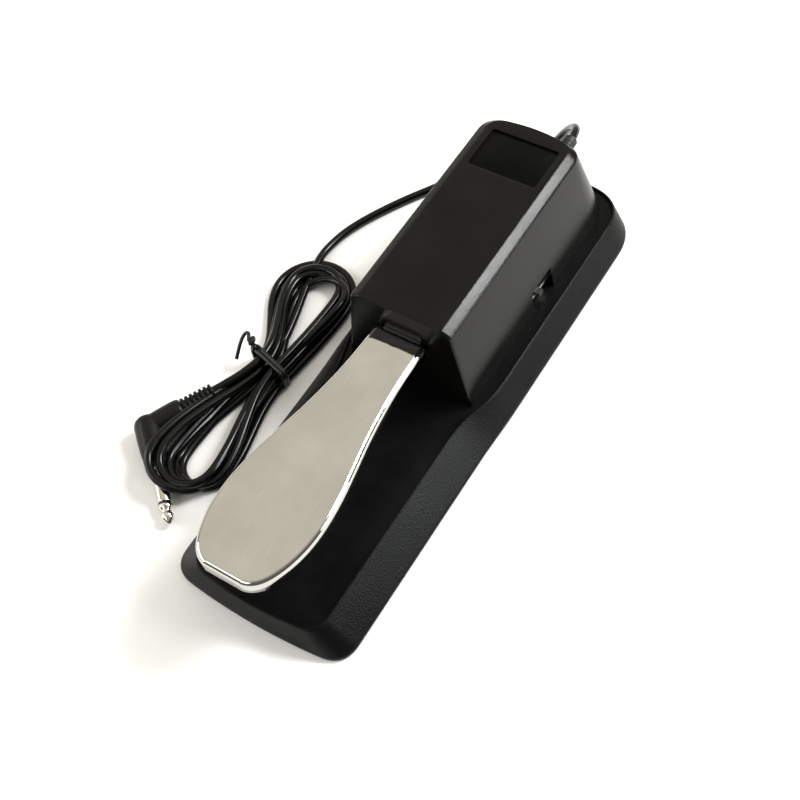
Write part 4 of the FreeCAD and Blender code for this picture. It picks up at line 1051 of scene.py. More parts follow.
@dataclass
class Tray:
    """The weighted tray with its sloping border, its posts and its rubber sole.

    Attributes:
        run_in: how far the slopes run in at the sides' front, the sides' rear, the nose and the tail.
        bows: how far the front and the rear edge curve out.
        corners: the radii of the front and the rear corners.
        border: the width of the solid border round the hollow.
        blocks: the posts and ribs on the deck, as lowest and highest corners.
        studs: how many grip studs the sole has across and along, and how far apart they are.
    """

    length: float = 263.0
    half_front: float = 43.8
    half_rear: float = 44.6
    rim: float = 15.3
    deck: float = 14.1
    skirt: float = 2.6
    lower_edge: float = 0.8
    ceiling: float = 11.1
    border: float = 10.0
    rim_flat: float = 1.0
    run_in: tuple[float, float, float, float] = (12.0, 6.8, 2.6, 1.6)
    bows: tuple[float, float] = (3.2, 2.6)
    corners: tuple[float, float] = (11.0, 22.0)
    sole_thick: float = 2.0
    sole_inset: float = 1.4
    blocks: tuple[tuple[Point, Point], ...] = (
        ((-6.0, 66.0, 13.5), (6.0, 74.0, 40.8)),
        ((-6.0, -2.0, 13.5), (6.0, 6.0, 37.6)),
        ((-15.0, 59.25, 13.5), (5.0, 61.65, 24.3)),
    )
    screw_x: float = 24.5
    screw_y: tuple[float, float] = (7.0, 98.0)
    board_x: float = 17.5
    board_y: tuple[float, float] = (49.0, 71.0)
    studs: tuple[int, int, float] = (11, 35, 7.0)

    def outline(self, z: float, insets: float | Sequence[float], drop: float) -> Outline:
        """The tray's outline at a height.

        Args:
            z: the height.
            insets: how far it is drawn in, either evenly or as run_in says.
            drop: how much smaller its corners are.

        Returns:
            The outline.
        """
        side_front, side_rear, nose, tail = (insets,) * 4 if isinstance(insets, float) else insets
        return Outline(
            z,
            -0.5 * self.length + nose,
            0.5 * self.length - tail,
            *self.bows,
            self.half_front - side_front,
            self.half_rear - side_rear,
            self.corners[0] - drop,
            self.corners[1] - drop,
        )

    def build(self, materials: Materials) -> list[bpy.types.Object]:
        """Makes the tray and the sole.

        Args:
            materials: the materials.

        Returns:
            The pieces.
        """
        lip = tuple(a + self.rim_flat for a in self.run_in)
        floor = tuple(a + 0.15 for a in lip)
        levels = [
            (self.outline(self.ceiling, self.border, 4.0), 0.0),
            (self.outline(self.sole_thick, self.border, 4.0), 0.5),
            (self.outline(self.sole_thick, self.sole_inset, 1.0), 0.0),
            (self.outline(self.lower_edge, self.sole_inset, 1.0), 0.2),
            (self.outline(self.lower_edge, 0.0, 0.0), 0.35),
            (self.outline(self.skirt, 0.0, 0.0), 0.7),
            (self.outline(self.rim, self.run_in, 3.0), 1.1),
            (self.outline(self.rim, lip, 4.0), 0.3),
            (self.outline(self.deck, floor, 4.0), 0.3),
            (self.outline(self.deck, tuple(a + 3.0 for a in floor), 5.0), 0.0),
        ]
        shell = Mesh()
        shell.skin([outline.ring() for outline in filleted(levels)])
        for low, high in self.blocks:
            shell.block(low, high, 0.5)
        upward = Vector((0, 0, 1))
        for x in (-self.screw_x, self.screw_x):
            for y in self.screw_y:
                shell.turned(((5.5, 0), (5.5, 10.0)), Vector((x, y, 2.2)), upward)
        for y in self.board_y:
            shell.turned(((2.6, 0), (2.6, 2.0)), Vector((self.board_x, y, 13.6)), upward, 24)
        tray = show(shell.piece("tray_shell", materials.get(TRAY)), Body.BASE, ["base_tray"])
        return [tray, self._sole(materials)]

    def _sole(self, materials: Materials) -> bpy.types.Object:
        """The rubber sole: a sheet with rows of low round studs under it.

        Args:
            materials: the materials.

        Returns:
            The sole.
        """
        sheet = Mesh()
        levels = [
            (self.outline(0.45, 3.4, 1.0), 0.0),
            (self.outline(0.0, 2.6, 1.0), 0.3),
            (self.outline(0.0, 1.7, 1.0), 0.3),
            (self.outline(self.sole_thick, 1.55, 1.0), 0.0),
        ]
        sheet.skin([outline.ring() for outline in filleted(levels, 3)])
        sole = sheet.piece("sole_sheet", materials.get(SOLE))
        stud = Mesh()
        stud.turned(((0.4, 0.0), (1.2, 0.02), (1.5, 0.25), (1.5, 0.6)), Vector(), Vector((0, 0, 1)), 12)
        repeat = Repeat("sole_studs", stud.piece("sole_stud", materials.get(SOLE)), materials.get(SOLE), seed=7)
        across, along, apart = self.studs
        start = Vector((-0.5 * (across - 1) * apart, -0.5 * (along - 1) * apart - 1.0, 0.0))
        studs = repeat.grid(start, Vector((apart, 0, 0)), Vector((0, apart, 0)), (across, along))
        return show(merged("rubber_sheet", [sole, studs]), Body.BASE, ["rubber_sole"])


def merged(name: str, pieces: Sequence[bpy.types.Object]) -> bpy.types.Object:
    """One mesh object from several.

    Args:
        name: its name.
        pieces: the objects, which are removed.

    Returns:
        The new object.
    """
    data = pieces[0].data
    made = pieces[0]
    with bpy.context.temp_override(
        active_object=made, object=made, selected_objects=list(pieces), selected_editable_objects=list(pieces)
    ):
        bpy.ops.object.join()
    made.name = name
    data.name = name
    return made


@dataclass
class Repeat:
    """Copies of a small piece laid out by a node tree, with a fixed seed for their slight unevenness.

    Attributes:
        name: the name of what is made.
        pattern: the piece to copy, which is removed.
        material: the copies' material.
        seed: the seed.
    """

    name: str
    pattern: bpy.types.Object
    material: bpy.types.Material
    seed: int = 1

    def _tree(self) -> bpy.types.NodeTree:
        """The node tree that lays the pattern out in columns and rows.

        Returns:
            The tree.
        """
        tree = bpy.data.node_groups.new(self.name, "GeometryNodeTree")
        for label, kind in (
            ("Geometry", "Geometry"),
            ("Pattern", "Object"),
            ("Material", "Material"),
            ("Seed", "Int"),
            ("Start", "Vector"),
            ("Across", "Vector"),
            ("Along", "Vector"),
            ("Columns", "Int"),
            ("Rows", "Int"),
            ("Scale Step", "Float"),
        ):
            tree.interface.new_socket(label, in_out="INPUT", socket_type=f"NodeSocket{kind}")
        tree.interface.new_socket("Geometry", in_out="OUTPUT", socket_type="NodeSocketGeometry")
        given = add_node(tree, "NodeGroupInput").outputs
        total = add_node(tree, "ShaderNodeMath", operation="MULTIPLY")
        points = add_node(tree, "GeometryNodePoints")
        index = add_node(tree, "GeometryNodeInputIndex").outputs["Index"]
        column = add_node(tree, "ShaderNodeMath", operation="MODULO")
        share = add_node(tree, "ShaderNodeMath", operation="DIVIDE")
        row = add_node(tree, "ShaderNodeMath", operation="FLOOR")
        sideways = add_node(tree, "ShaderNodeVectorMath", operation="MULTIPLY_ADD")
        onward = add_node(tree, "ShaderNodeVectorMath", operation="MULTIPLY_ADD")
        fetched = add_node(tree, "GeometryNodeObjectInfo")
        chance = add_node(tree, "FunctionNodeRandomValue", {2: 0.985, 3: 1.0}, data_type="FLOAT")
        taper = add_node(tree, "ShaderNodeMath", operation="MULTIPLY_ADD")
        copies = add_node(tree, "GeometryNodeInstanceOnPoints")
        real = add_node(tree, "GeometryNodeRealizeInstances")
        smooth = add_node(tree, "GeometryNodeSetShadeSmooth")
        paint = add_node(tree, "GeometryNodeSetMaterial")
        sink = add_node(tree, "NodeGroupOutput")
        link(
            tree,
            (given["Columns"], total.inputs[0]),
            (given["Rows"], total.inputs[1]),
            (total.outputs[0], points.inputs["Count"]),
            (index, column.inputs[0]),
            (given["Columns"], column.inputs[1]),
            (index, share.inputs[0]),
            (given["Columns"], share.inputs[1]),
            (share.outputs[0], row.inputs[0]),
            (column.outputs[0], sideways.inputs[0]),
            (given["Across"], sideways.inputs[1]),
            (given["Start"], sideways.inputs[2]),
            (row.outputs[0], onward.inputs[0]),
            (given["Along"], onward.inputs[1]),
            (sideways.outputs[0], onward.inputs[2]),
            (onward.outputs[0], points.inputs["Position"]),
            (given["Pattern"], fetched.inputs["Object"]),
            (given["Seed"], chance.inputs["Seed"]),
            (index, taper.inputs[0]),
            (given["Scale Step"], taper.inputs[1]),
            (chance.outputs[1], taper.inputs[2]),
            (points.outputs[0], copies.inputs["Points"]),
            (fetched.outputs["Geometry"], copies.inputs["Instance"]),
            (taper.outputs[0], copies.inputs["Scale"]),
            (copies.outputs["Instances"], real.inputs["Geometry"]),
            (real.outputs["Geometry"], smooth.inputs["Geometry"]),
            (smooth.outputs["Geometry"], paint.inputs["Geometry"]),
            (given["Material"], paint.inputs["Material"]),
            (paint.outputs["Geometry"], sink.inputs[0]),
        )
        return tree

    def grid(
        self, start: Vector, across: Vector, along: Vector, counts: tuple[int, int], scale_step: float = 0.0
    ) -> bpy.types.Object:
        """Lays the copies out.

        Args:
            start: the place of the first, in millimetres.
            across: from each column to the next.
            along: from each row to the next.
            counts: how many columns and rows.
            scale_step: the change of size from each copy to the next, as a share.

        Returns:
            The copies as one object.
        """
        tree = self._tree()
        holder = placed(self.name, bpy.data.meshes.new(self.name))
        modifier = holder.modifiers.new(self.name, "NODES")
        modifier.node_group = tree
        values = {
            "Pattern": self.pattern,
            "Material": self.material,
            "Seed": self.seed,
            "Start": list(start * MM),
            "Across": list(across * MM),
            "Along": list(along * MM),
            "Columns": counts[0],
            "Rows": counts[1],
            "Scale Step": scale_step,
        }
        for socket in tree.interface.items_tree:
            if socket.in_out == "INPUT" and socket.name in values:
                modifier[socket.identifier] = values[socket.name]
        settle(holder)
        bpy.data.objects.remove(self.pattern)
        return holder


# ------------------------------------------------------------------ housing


@dataclass
class Housing:
    """The tapered housing: a thin shell with a bevelled shoulder, a plate let into its top, a window for
    the polarity switch and a slot for the lever.

    Attributes:
        low: half width, rear edge and rear corner at the deck.
        high: the same at the shoulder.
        top: the same round the flat top.
        plate: half width, front edge and rear edge of the plate's well.
        window: the lowest and the highest corner of the switch window's cut.
        slot: the same for the lever's slot.
        gland: where the cord's outlet starts.
    """

    front: float = -6.0
    low: Point = (31.4, 128.0, 20.0)
    high: Point = (24.5, 110.4, 8.0)
    top: Point = (20.0, 109.2, 6.0)
    deck: float = 14.1
    shoulder: float = 60.3
    crown: float = 62.8
    wall: float = 2.5
    bow: float = 2.6
    plate: tuple[float, float, float] = (16.8, 78.4, 101.4)
    plate_drop: float = 1.3
    plate_gap: float = 0.3
    window: tuple[Point, Point] = ((22.0, 51.4, 13.1), (40.0, 68.4, 26.5))
    slot: tuple[Point, Point] = ((-9.7, -9.0, 36.5), (9.7, 0.0, 49.3))
    gland: Point = (13.5, 104.0, 54.0)
    gland_radius: float = 4.05
    boss_x: float = 24.5
    boss_y: tuple[float, float] = (7.0, 98.0)

    def outline(self, z: float, sizes: Point) -> Outline:
        """The housing's outline at a height.

        Args:
            z: the height.
            sizes: half width, rear edge and rear corner.

        Returns:
            The outline.
        """
        half, rear, corner = sizes
        return Outline(z, self.front, rear, 0.0, self.bow, half, half, 1.5, corner)

    def build(self, materials: Materials) -> list[bpy.types.Object]:
        """Makes the shell and the plate.

        Args:
            materials: the materials.

        Returns:
            The pieces.
        """
        outer = [
            self.outline(self.deck, self.low),
            self.outline(self.shoulder, self.high),
            self.outline(self.crown, self.top),
        ]
        inner = [
            outer[0].inset(self.wall),
            outer[1].inset(self.wall, self.shoulder - self.wall),
            outer[2].inset(self.wall, self.crown - self.wall),
        ]
        levels = [
            (inner[2].inset(4.0), 0.0),
            (inner[2], 1.0),
            (inner[1], 1.0),
            (inner[0], 0.0),
            (outer[0].inset(0.25), 0.0),
            (outer[0].toward(outer[1], 0.008), 0.3),
            (outer[0].toward(outer[1], 0.285), 0.0),
            (outer[1], 0.9),
            (outer[2], 0.7),
            (outer[2].inset(4.0), 0.0),
        ]
        shell = Mesh()
        shell.skin([outline.ring() for outline in filleted(levels)])
        cover = shell.piece("cover_shell", materials.get(COVER))
        tools = self._tools(materials)
        carve(cover, tools[:2], 0.22)
        carve(cover, tools[2:], 0.0)
        bosses = Mesh()
        boss = ((4.5, 0.0), (4.5, 11.4), (4.0, 11.9))
        for x in (-self.boss_x, self.boss_x):
            for y in self.boss_y:
                bosses.turned(boss, Vector((x, y, self.deck)), Vector((0, 0, 1)))
        inside = bosses.piece("cover_bosses", materials.get(COVER))
        cover = show(merged("cover", [cover, inside]), Body.BASE, ["housing_cover"])
        return [cover, self._plate(materials)]

    def _tools(self, materials: Materials) -> list[bpy.types.Object]:
        """The shapes cut out of the shell.

        Args:
            materials: the materials.

        Returns:
            The objects.
        """
        half, near, far = self.plate
        well = Mesh()
        well.skin([rounded(half, near, far, 1.6, z) for z in (self.crown - self.plate_drop, self.crown + 2)])
        window = Mesh()
        window.block(*self.window, 0.01)
        slot = Mesh()
        slot.block(*self.slot, 0.01)
        gland = Mesh()
        bore = ((self.gland_radius, 0.0), (self.gland_radius, 20.0))
        gland.turned(bore, Vector(self.gland), Vector((0, 1, 0)))
        named = (("well", well), ("slot", slot), ("gland", gland), ("window", window))
        return [mesh.piece(f"cut_{name}", materials.get(COVER)) for name, mesh in named]

    def _plate(self, materials: Materials) -> bpy.types.Object:
        """The blank plate in the well.

        Args:
            materials: the materials.

        Returns:
            The plate.
        """
        half, near, far = self.plate
        base = self.crown - self.plate_drop
        sheet = Mesh()
        rings = [
            rounded(half - edge, near + edge, far - edge, 1.4, base + rise)
            for edge, rise in (
                (self.plate_gap, 0.02),
                (self.plate_gap, 0.32),
                (self.plate_gap + 0.06, 0.43),
                (self.plate_gap + 0.18, 0.49),
            )
        ]
        sheet.skin(rings)
        return show(sheet.piece("plate_sheet", materials.get(PLATE)), Body.BASE, ["blank_plate"])


def rounded(half: float, near: float, far: float, corner: float, z: float, steps: int = 6) -> list[Vector]:
    """A rectangle with round corners, anticlockwise.

    Args:
        half: half its width.
        near: its front edge.
        far: its rear edge.
        corner: the radius of its corners.
        z: its height.
        steps: the steps in a corner.

    Returns:
        Its points.
    """
    found = []
    middles = (
        (half - corner, near + corner, -90),
        (half - corner, far - corner, 0),
        (-half + corner, far - corner, 90),
        (-half + corner, near + corner, 180),
    )
    for x, y, start in middles:
        for step in range(steps + 1):
            angle = math.radians(start + 90 * step / steps)
            found.append(Vector((x + corner * math.cos(angle), y + corner * math.sin(angle), z)))
    return found


# ------------------------------------------------------------------ lever


@dataclass
class Lever:
    """The pressed and plated foot plate, in the lever's tilted frame, and its return spring.

    Attributes:
        tilt: the plate's rise towards the front, in degrees.
        level: the height of its face above the pivot.
        crown: how much its face rises from the edges to the middle.
        gap: the cut in its rear edge that clears the lever arm.
        edge: poles of its side, as distances behind the nose and shares of the way from neck to widest.
    """

    pivot: Point = (0.0, 40.0, 37.0)
    tilt: float = 1.6
    level: float = 11.3
    front: float = 133.8
    rear: float = -6.9
    half: float = 23.3
    neck: float = 12.9
    nose: float = 9.0
    sheet: float = 1.6
    depth: float = 7.0
    roll: float = 2.6
    rear_corner: float = 3.5
    crown: float = 0.22
    inner_roll: float = 1.2
    gap: tuple[Point, Point] = ((-9.7, -12.6, 38.0), (9.7, -4.0, 46.5))
    spring_y: float = 14.0
    spring_radius: float = 5.0
    spring_wire: float = 0.65
    spring_turns: int = 8
    edge: tuple[tuple[float, float], ...] = (
        (1.2, 0.14),
        (9.0, 0.66),
        (27.0, 1.08),
        (50.0, 0.93),
        (75.0, 0.38),
        (98.0, 0.08),
        (112.0, 0.0),
    )

    def side(self, steps: int = 64) -> list[Vector]:
        """The right-hand half of the plate's edge in the lever's frame, from the nose to the rear.

        Args:
            steps: the number of steps along its curve.

        Returns:
            Its points.
        """
        front = -(self.front + self.pivot[1])
        rear = self.rear - self.pivot[1]
        spread = self.half - self.neck
        poles = [Vector((self.nose, front, 0))]
        poles += [Vector((self.neck + spread * share, front + back, 0)) for back, share in self.edge]
        poles.append(Vector((self.neck, rear - self.rear_corner, 0)))
        found = [Vector((self.nose * n / 8, front, 0)) for n in range(8)]
        found += uniform_spline(poles, 3, steps)
        corner = (
            Vector((self.neck, rear - self.rear_corner, 0)),
            Vector((self.neck, rear, 0)),
            Vector((self.neck - self.rear_corner, rear, 0)),
        )
        found += bezier(corner, 8)
        found += [Vector(((self.neck - self.rear_corner) * (1 - n / 6), rear, 0)) for n in range(7)]
        return found

    def ring(self, inset: float, z: float) -> list[Vector]:
        """The plate's edge drawn in evenly, at a height.

        Args:
            inset: how far it is drawn in.
            z: the height.

        Returns:
            Its points, anticlockwise from the middle of the nose.
        """
        half = self.side()
        found = []
        for n, p in enumerate(half):
            before = half[n - 1] if n else Vector((-half[1].x, half[1].y, 0))
            after = half[n + 1] if n + 1 < len(half) else Vector((-half[-2].x, half[-2].y, 0))
            along = (after - before).normalized()
            inward = Vector((-along.y, along.x, 0))
            q = p + inward * inset
            found.append(Vector((max(q.x, 0.0) if 0 < n < len(half) - 1 else 0.0, q.y, z)))
        left = [Vector((-p.x, p.y, p.z)) for p in reversed(found[1:-1])]
        return found + left

    def build(self, materials: Materials) -> list[bpy.types.Object]:
        """Makes the foot plate and the spring.

        Args:
            materials: the materials.

        Returns:
            The pieces.
        """
        rings = [self.ring(self.sheet + 4.0, self.level - self.sheet)]
        for n in range(5):
            angle = math.radians(90 - 90 * n / 4)
            inset = self.sheet + self.inner_roll * (1 - math.cos(angle))
            drop = self.inner_roll * (1 - math.sin(angle))
            rings.append(self.ring(inset, self.level - self.sheet - drop))
        rings.append(self.ring(self.sheet, self.level - self.depth + 0.3))
        rings.append(self.ring(self.sheet - 0.3, self.level - self.depth))
        rings.append(self.ring(0.35, self.level - self.depth))
        rings.append(self.ring(0.0, self.level - self.depth + 0.35))
        for n in range(11):
            angle = math.radians(90 * n / 10)
            inset = self.roll * (1 - math.cos(angle))
            rings.append(self.ring(inset, self.level - self.crown - self.roll * (1 - math.sin(angle))))
        last = rings[-1]
        spine = (-self.front - self.pivot[1] + 24.0, self.rear - self.pivot[1] - 8.0)
        for n in range(1, 11):
            share = n / 11
            lift = self.crown * (1 - (1 - share) ** 2)
            ring = []
            for p in last:
                heart = Vector((0, min(max(p.y, spine[0]), spine[1]), 0))
                q = Vector((p.x, p.y, 0)).lerp(heart, share)
                ring.append(Vector((q.x, q.y, self.level - self.crown + lift)))
            rings.append(ring)
        shape = Mesh()
        shape.skin(rings)
        tilt = Matrix.Rotation(-math.radians(self.tilt), 3, "X")
        shape.verts = [Vector(self.pivot) + tilt @ p for p in shape.verts]
        plate = shape.piece("foot_pressing", materials.get(CHROME), 50.0)
        gap = Mesh()
        gap.block(*self.gap, 0.01)
        cut = gap.piece("cut_gap", materials.get(CHROME))
        tool = plate.modifiers.new("gap", "BOOLEAN")
        tool.operation = "DIFFERENCE"
        tool.solver = "EXACT"
        tool.object = cut
        settle(plate)
        bpy.data.objects.remove(cut)
        soften(plate, 50.0)
        show(plate, Body.LEVER, ["foot_plate"])
        return [plate, self._spring(materials)]

    def _spring(self, materials: Materials) -> bpy.types.Object:
        """The return spring, drawn as a fixed coil at rest; the real one shortens as the lever goes down.

        Args:
            materials: the materials.

        Returns:
            The spring.
        """
        low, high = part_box("return_spring")
        bottom, top = (c[2] / MM for c in (low, high))
        ends, steps = 0.08, 28
        count = self.spring_turns * steps
        spots = []
        for n in range(count + 1):
            share = n / count
            angle = 2 * math.pi * self.spring_turns * share
            climb = min(1.0, max(0.0, (share - ends) / (1 - 2 * ends)))
            ease = climb * climb * (3 - 2 * climb) * 0.35 + climb * 0.65
            height = top - bottom - 2 * self.spring_wire
            lift = bottom + self.spring_wire + height * (0.04 * share + 0.96 * ease)
            x, y = self.spring_radius * math.cos(angle), self.spring_radius * math.sin(angle)
            spots.append(Vector((x, self.spring_y + y, lift)))
        line = curve_object("return_coil_line", spots, self.spring_wire)
        spring = curve_mesh(line, "return_coil", materials.get(ZINC))
        show(spring, Body.BASE, ["return_spring"])
        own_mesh(spring)
        return spring


def uniform_spline(poles: Sequence[Vector], degree: int, steps: int) -> list[Vector]:
    """Points along a clamped B-spline with evenly spaced inner knots, without its last.

    Args:
        poles: its control points.
        degree: its degree.
        steps: the number of points.

    Returns:
        The points.
    """
    spans = len(poles) - degree
    knots = [0.0] * (degree + 1) + [n / spans for n in range(1, spans)] + [1.0] * (degree + 1)
    found = []
    for step in range(steps):
        t = step / steps
        span = max(n for n in range(degree, len(poles)) if knots[n] <= t)
        row = [poles[n].copy() for n in range(span - degree, span + 1)]
        for level in range(1, degree + 1):
            for n in range(degree, level - 1, -1):
                index = span - degree + n
                width = knots[index + degree - level + 1] - knots[index]
                row[n] = row[n - 1].lerp(row[n], (t - knots[index]) / width)
        found.append(row[degree])
    return found


# ------------------------------------------------------------------ cord, tie, strain relief and plug


TWISTED = Vector((-4.9, 2.4, 1.6))


@dataclass
class CordSet:
    """The cord with its strain relief, the twisted tie round the hank, and the angled plug."""

    route: CordRoute = field(default_factory=CordRoute)
    elbow: Point = (-93.0, -80.0, 6.9)
    tip_end: Point = (-57.2, -112.8, 3.4)
    boot_end: Point = (-77.6, -50.8, 9.6)
    radius: float = 2.0

    def build(self, materials: Materials) -> list[bpy.types.Object]:
        """Args:
            materials: the materials.

        Returns:
            The pieces.
        """
        spots = self.route.points()
        cord = curve_object("cord_line", spots, self.radius)
        cord.data.materials.append(materials.get(CORD))
        length = self.drawn_length(cord)
        log.info("the cord is %.3f m long", length)
        show(cord, Body.BASE, ["cord", "cord_hank"])
        tie = self._tie(materials)
        plug = self._plug(materials)
        return [cord, *tie, *plug, self._gland(materials)]

    @staticmethod
    def drawn_length(cord: bpy.types.Object) -> float:
        """The length of a curve's line.

        Args:
            cord: the curve object.

        Returns:
            Its length in metres.
        """
        bare = cord.copy()
        bare.data = cord.data.copy()
        bare.data.bevel_depth = 0.0
        bpy.context.scene.collection.objects.link(bare)
        graph = bpy.context.evaluated_depsgraph_get()
        graph.update()
        line = bpy.data.meshes.new_from_object(bare.evaluated_get(graph))
        ends = ((line.vertices[a].co, line.vertices[b].co) for a, b in (e.vertices for e in line.edges))
        total = sum((a - b).length for a, b in ends)
        bpy.data.objects.remove(bare)
        return total

    def _tie(self, materials: Materials) -> list[bpy.types.Object]:
        """The tie: a band round the strands, its twisted neck and its two ends.

        Args:
            materials: the materials.

        Returns:
            The pieces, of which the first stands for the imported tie.
        """
        half, bottom, top, corner, wire = 11.6, 1.0, 12.4, 3.4, 0.95
        band = []
        for x, z, start in (
            (half - corner, bottom + corner, -90),
            (half - corner, top - corner, 0),
            (-half + corner, top - corner, 90),
            (-half + corner, bottom + corner, 180),
        ):
            for step in range(5):
                angle = math.radians(start + 22.5 * step)
                band.append(self.route.across_tie(x + corner * math.cos(angle), z + corner * math.sin(angle)))
        second = [p + Vector((0.5, 1.9 - 0.12 * abs(n - 10), 0.0)) for n, p in enumerate(band)]
        lines = [curve_object("tie_band", spots, wire, closed=True) for spots in (band, second)]
        neck = self.route.across_tie(-8.0, 13.2)
        onward, sideways, upward = Vector((-0.75, 0.35, 0.25)), Vector((0.25, 0.55, 0)), Vector((0, 0, 0.8))
        for phase, end in ((0.0, self._loop(neck)), (math.pi, self._stub(neck))):
            spots = []
            for n in range(9):
                angle = phase + 1.15 * n
                offset = sideways * math.cos(angle) + upward * math.sin(angle)
                spots.append(neck + onward * (0.75 * n) + offset)
            lines.append(curve_object("tie_end", spots + end, 0.85))
        tie = merged("tie", [curve_mesh(line, "tie_part", materials.get(TIE)) for line in lines])
        return [show(tie, Body.BASE, ["twist_tie"])]

    @staticmethod
    def _loop(neck: Vector) -> list[Vector]:
        """The tie's longer end, bent round into an eye, after its twist.

        Args:
            neck: where the twist begins.

        Returns:
            Its points.
        """
        base = neck + TWISTED
        ways = ((-1.6, 2.2, 0.6), (-3.4, 2.6, 0.2), (-4.6, 0.6, -1.6), (-4.4, -3.6, -4.4), (-3.0, -8.6, -7.2))
        return [base + Vector(way) for way in ways]

    @staticmethod
    def _stub(neck: Vector) -> list[Vector]:
        """The tie's shorter end, curled, after its twist.

        Args:
            neck: where the twist begins.

        Returns:
            Its points.
        """
        base = neck + TWISTED
        ways = ((1.2, 1.4, 0.8), (2.6, 0.6, 0.9), (2.9, -1.2, 0.6), (1.6, -2.4, 0.2))
        return [base + Vector(way) for way in ways]

    def _gland(self, materials: Materials) -> bpy.types.Object:
        """The strain relief in the housing's rear wall.

        Args:
            materials: the materials.

        Returns:
            The strain relief.
        """
        shape = Mesh()
        profile = [(2.0, 0.0), (5.0, 0.0), (5.0, 1.5), (4.0, 1.5), (4.0, 3.6)]
        for n in range(3):
            start = 4.2 + 1.75 * n
            near = 3.95 - 0.22 * n
            groove = near - 0.5
            profile += [(near, start), (near, start + 1.0), (groove, start + 1.1), (groove, start + 1.6)]
        profile += [(3.2, 9.6), (3.2, 12.6), (2.9, 12.95), (2.3, 13.0)]
        shape.turned(profile, Vector((13.5, 105.0, 54.0)), Vector((0, 1, 0)), 40)
        return show(shape.piece("gland", materials.get(GLAND)), Body.BASE, ["strain_relief"])

    def _plug(self, materials: Materials) -> list[bpy.types.Object]:
        """The angled plug: moulded body, ribbed boot, sleeve and tip.

        Args:
            materials: the materials.

        Returns:
            The pieces.
        """
        elbow, end, boot_end = Vector(self.elbow), Vector(self.tip_end), Vector(self.boot_end)
        way = (end - elbow).normalized()
        lean = (boot_end - elbow).normalized()
        body = Mesh()
        body.turned(
            (
                (2.0, -5.5), (3.4, -5.3), (4.9, -4.6), (6.0, -3.4), (6.5, -2.0), (6.6, -0.5), (6.45, 5.0),
                (6.1, 11.0), (5.75, 14.6), (5.55, 15.1), (5.35, 15.2), (5.35, 15.6), (5.6, 15.7), (5.5, 17.4),
                (5.0, 19.2), (4.5, 19.75), (3.3, 19.8),
            ),
            elbow, way, 64,
        )
        neck = ((5.6, 0.0), (5.6, 9.0), (5.5, 13.5), (5.3, 15.8), (4.9, 17.0), (4.2, 17.5), (2.5, 17.5))
        body.turned(neck, elbow, lean, 56)
        moulded = show(body.piece("plug_moulding", materials.get(PLUG), 38.0), Body.BASE, ["plug_body"])
        reach = (boot_end - elbow).length
        core = Mesh()
        core.turned(((3.4, 17.2), (2.75, reach - 0.7), (2.4, reach - 0.1), (2.1, reach)), elbow, lean, 40)
        boot = core.piece("boot_core", materials.get(PLUG))
        rib = Mesh()
        tread = ((3.0, -0.85), (4.1, -0.85), (4.4, -0.6), (4.5, 0.3), (4.3, 0.75), (3.0, 0.85))
        rib.turned(tread, Vector(), lean, 40)
        count = 7
        step = (reach - 17.5 - 1.9) / (count - 1)
        repeat = Repeat("boot_ribs", rib.piece("boot_rib", materials.get(PLUG)), materials.get(PLUG), seed=3)
        ribs = repeat.grid(elbow + lean * 18.6, lean * step, Vector(), (count, 1), -0.028)
        ribbed = show(merged("boot", [boot, ribs]), Body.BASE, ["plug_boot"])
        sleeve = Mesh()
        sleeve.turned(((3.0, 19.7), (3.175, 20.0), (3.175, 38.1), (3.0, 38.4)), elbow, way, 56)
        barrel = show(sleeve.piece("sleeve_tube", materials.get(NICKEL)), Body.BASE, ["plug_sleeve"])
        tip = Mesh()
        tip.turned(
            (
                (3.0, 39.4), (3.17, 39.55), (3.17, 40.8), (3.0, 41.2), (2.4, 42.0), (2.05, 42.8), (2.15, 43.4),
                (2.7, 44.2), (2.98, 44.9), (2.95, 45.6), (2.5, 46.6), (1.7, 47.8), (1.0, 48.7), (0.5, 49.0),
            ),
            elbow, way, 56,
        )
        point = show(tip.piece("tip_turned", materials.get(NICKEL), 60.0), Body.BASE, ["plug_tip"])
        return [moulded, ribbed, barrel, point]


# ------------------------------------------------------------------ studio


@dataclass(frozen=True)
class Lamp:
    """A soft light that faces the pedal.

    Attributes:
        name: its name.
        way: the direction it stands in.
        distance: its distance in metres.
        size: its width and height in metres.
        power: its power in watts.
        tint: its colour.
    """

    name: str
    way: Point
    distance: float
    size: tuple[float, float]
    power: float
    tint: Point = (1.0, 1.0, 1.0)

    def build(self) -> bpy.types.Object:
        """Makes the light.

        Returns:
            The light object.
        """
        data = bpy.data.lights.new(self.name, "AREA")
        data.shape = "RECTANGLE"
        data.size, data.size_y = self.size
        data.energy = self.power
        data.color = self.tint
        lamp = placed(self.name, data)
        way = Vector(self.way).normalized()
        middle = Vector((0.0, 0.0, 0.03))
        lamp.location = middle + way * self.distance
        lamp.rotation_euler = way.to_track_quat("Z", "Y").to_euler()
        return lamp


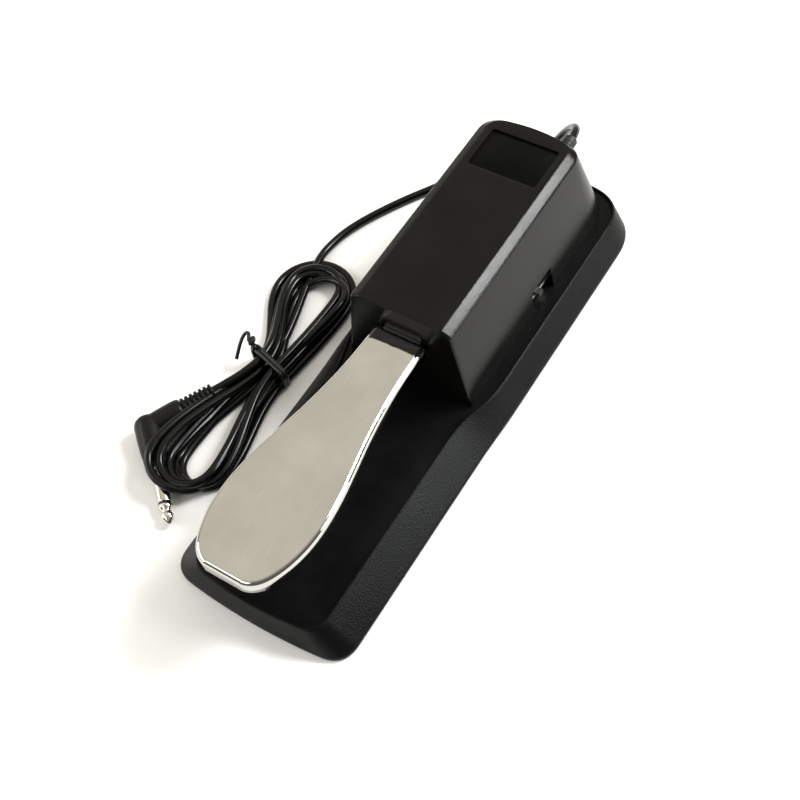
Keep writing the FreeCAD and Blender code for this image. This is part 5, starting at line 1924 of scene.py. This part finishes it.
@dataclass
class Studio:
    """A white sweep, a soft surround and a few soft lights."""

    lamps: tuple[Lamp, ...] = (
        Lamp("shoulder_light", (0.45, 0.54, 0.71), 1.3, (0.42, 0.42), 14.5),
        Lamp("slope_light", (0.855, 0.411, 0.315), 1.3, (0.34, 0.26), 8.0, (0.95, 0.98, 1.0)),
        Lamp("front_light", (-0.15, -0.75, 0.65), 1.4, (0.9, 0.5), 3.0),
        Lamp("left_light", (-0.8, -0.5, 0.4), 1.5, (1.2, 0.7), 9.0),
    )

    reach: float = 6.0

    def build(self) -> None:
        """Makes the floor, the surround and the lights."""
        for lamp in self.lamps:
            lamp.build()
        data = bpy.data.meshes.new("floor")
        corners = [(-1, -1), (1, -1), (1, 1), (-1, 1)]
        data.from_pydata([(self.reach * x, self.reach * y, 0) for x, y in corners], [], [(0, 1, 2, 3)])
        material = bpy.data.materials.new("studio_floor")
        material.use_nodes = True
        tree = material.node_tree
        shader = tree.nodes["Principled BSDF"]
        shader.inputs["Roughness"].default_value = 0.9
        shader.inputs["Specular IOR Level"].default_value = 0.1
        place = add_node(tree, "ShaderNodeTexCoord")
        noise = add_node(tree, "ShaderNodeTexNoise", {"Scale": 3.0})
        ramp = add_node(tree, "ShaderNodeMapRange", {"To Min": 0.93, "To Max": 0.96})
        tone = add_node(tree, "ShaderNodeCombineColor")
        link(
            tree,
            (place.outputs["Object"], noise.inputs["Vector"]),
            (noise.outputs["Fac"], ramp.inputs["Value"]),
            *((ramp.outputs["Result"], tone.inputs[name]) for name in ("Red", "Green", "Blue")),
            (tone.outputs["Color"], shader.inputs["Base Color"]),
        )
        data.materials.append(material)
        placed("floor", data)
        self._surround()
        settings = bpy.context.scene.view_settings
        settings.view_transform = "Standard"
        settings.gamma = 0.88
        settings.exposure = 0.12

    @staticmethod
    def _surround() -> None:
        """The light all round: a warm glow overhead and behind, and dimmer elsewhere."""
        world = bpy.data.worlds.new("surround")
        bpy.context.scene.world = world
        world.use_nodes = True
        tree = world.node_tree
        back = tree.nodes["Background"]
        place = add_node(tree, "ShaderNodeTexCoord")
        toward = add_node(tree, "ShaderNodeVectorMath", {1: (-0.36, 0.41, 0.83)}, operation="DOT_PRODUCT")
        ramp = add_node(tree, "ShaderNodeValToRGB")
        dim, glow = ramp.color_ramp.elements
        dim.position, dim.color = 0.25, (0.20, 0.195, 0.185, 1.0)
        glow.position, glow.color = 0.85, (0.84, 0.80, 0.70, 1.0)
        back.inputs["Strength"].default_value = 1.0
        link(
            tree,
            (place.outputs["Generated"], toward.inputs[0]),
            (toward.outputs["Value"], ramp.inputs["Fac"]),
            (ramp.outputs["Color"], back.inputs["Color"]),
        )


# ------------------------------------------------------------------ the whole


def dress_frame(materials: Materials) -> None:
    """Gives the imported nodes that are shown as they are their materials.

    Args:
        materials: the materials.
    """
    for finish, names in FINISHED_NODES:
        for name in names:
            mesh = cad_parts[name].data
            mesh.materials.clear()
            mesh.materials.append(materials.get(finish))
            for face in mesh.polygons:
                face.material_index = 0


def main() -> None:
    """Builds the scene and logs the cord's length."""
    logging.basicConfig(level=logging.INFO)
    CameraRig().build()
    materials = Materials()
    CordSet().build(materials)
    Tray().build(materials)
    Housing().build(materials)
    Lever().build(materials)
    dress_frame(materials)
    Studio().build()


if __name__ == "__main__":
    main()
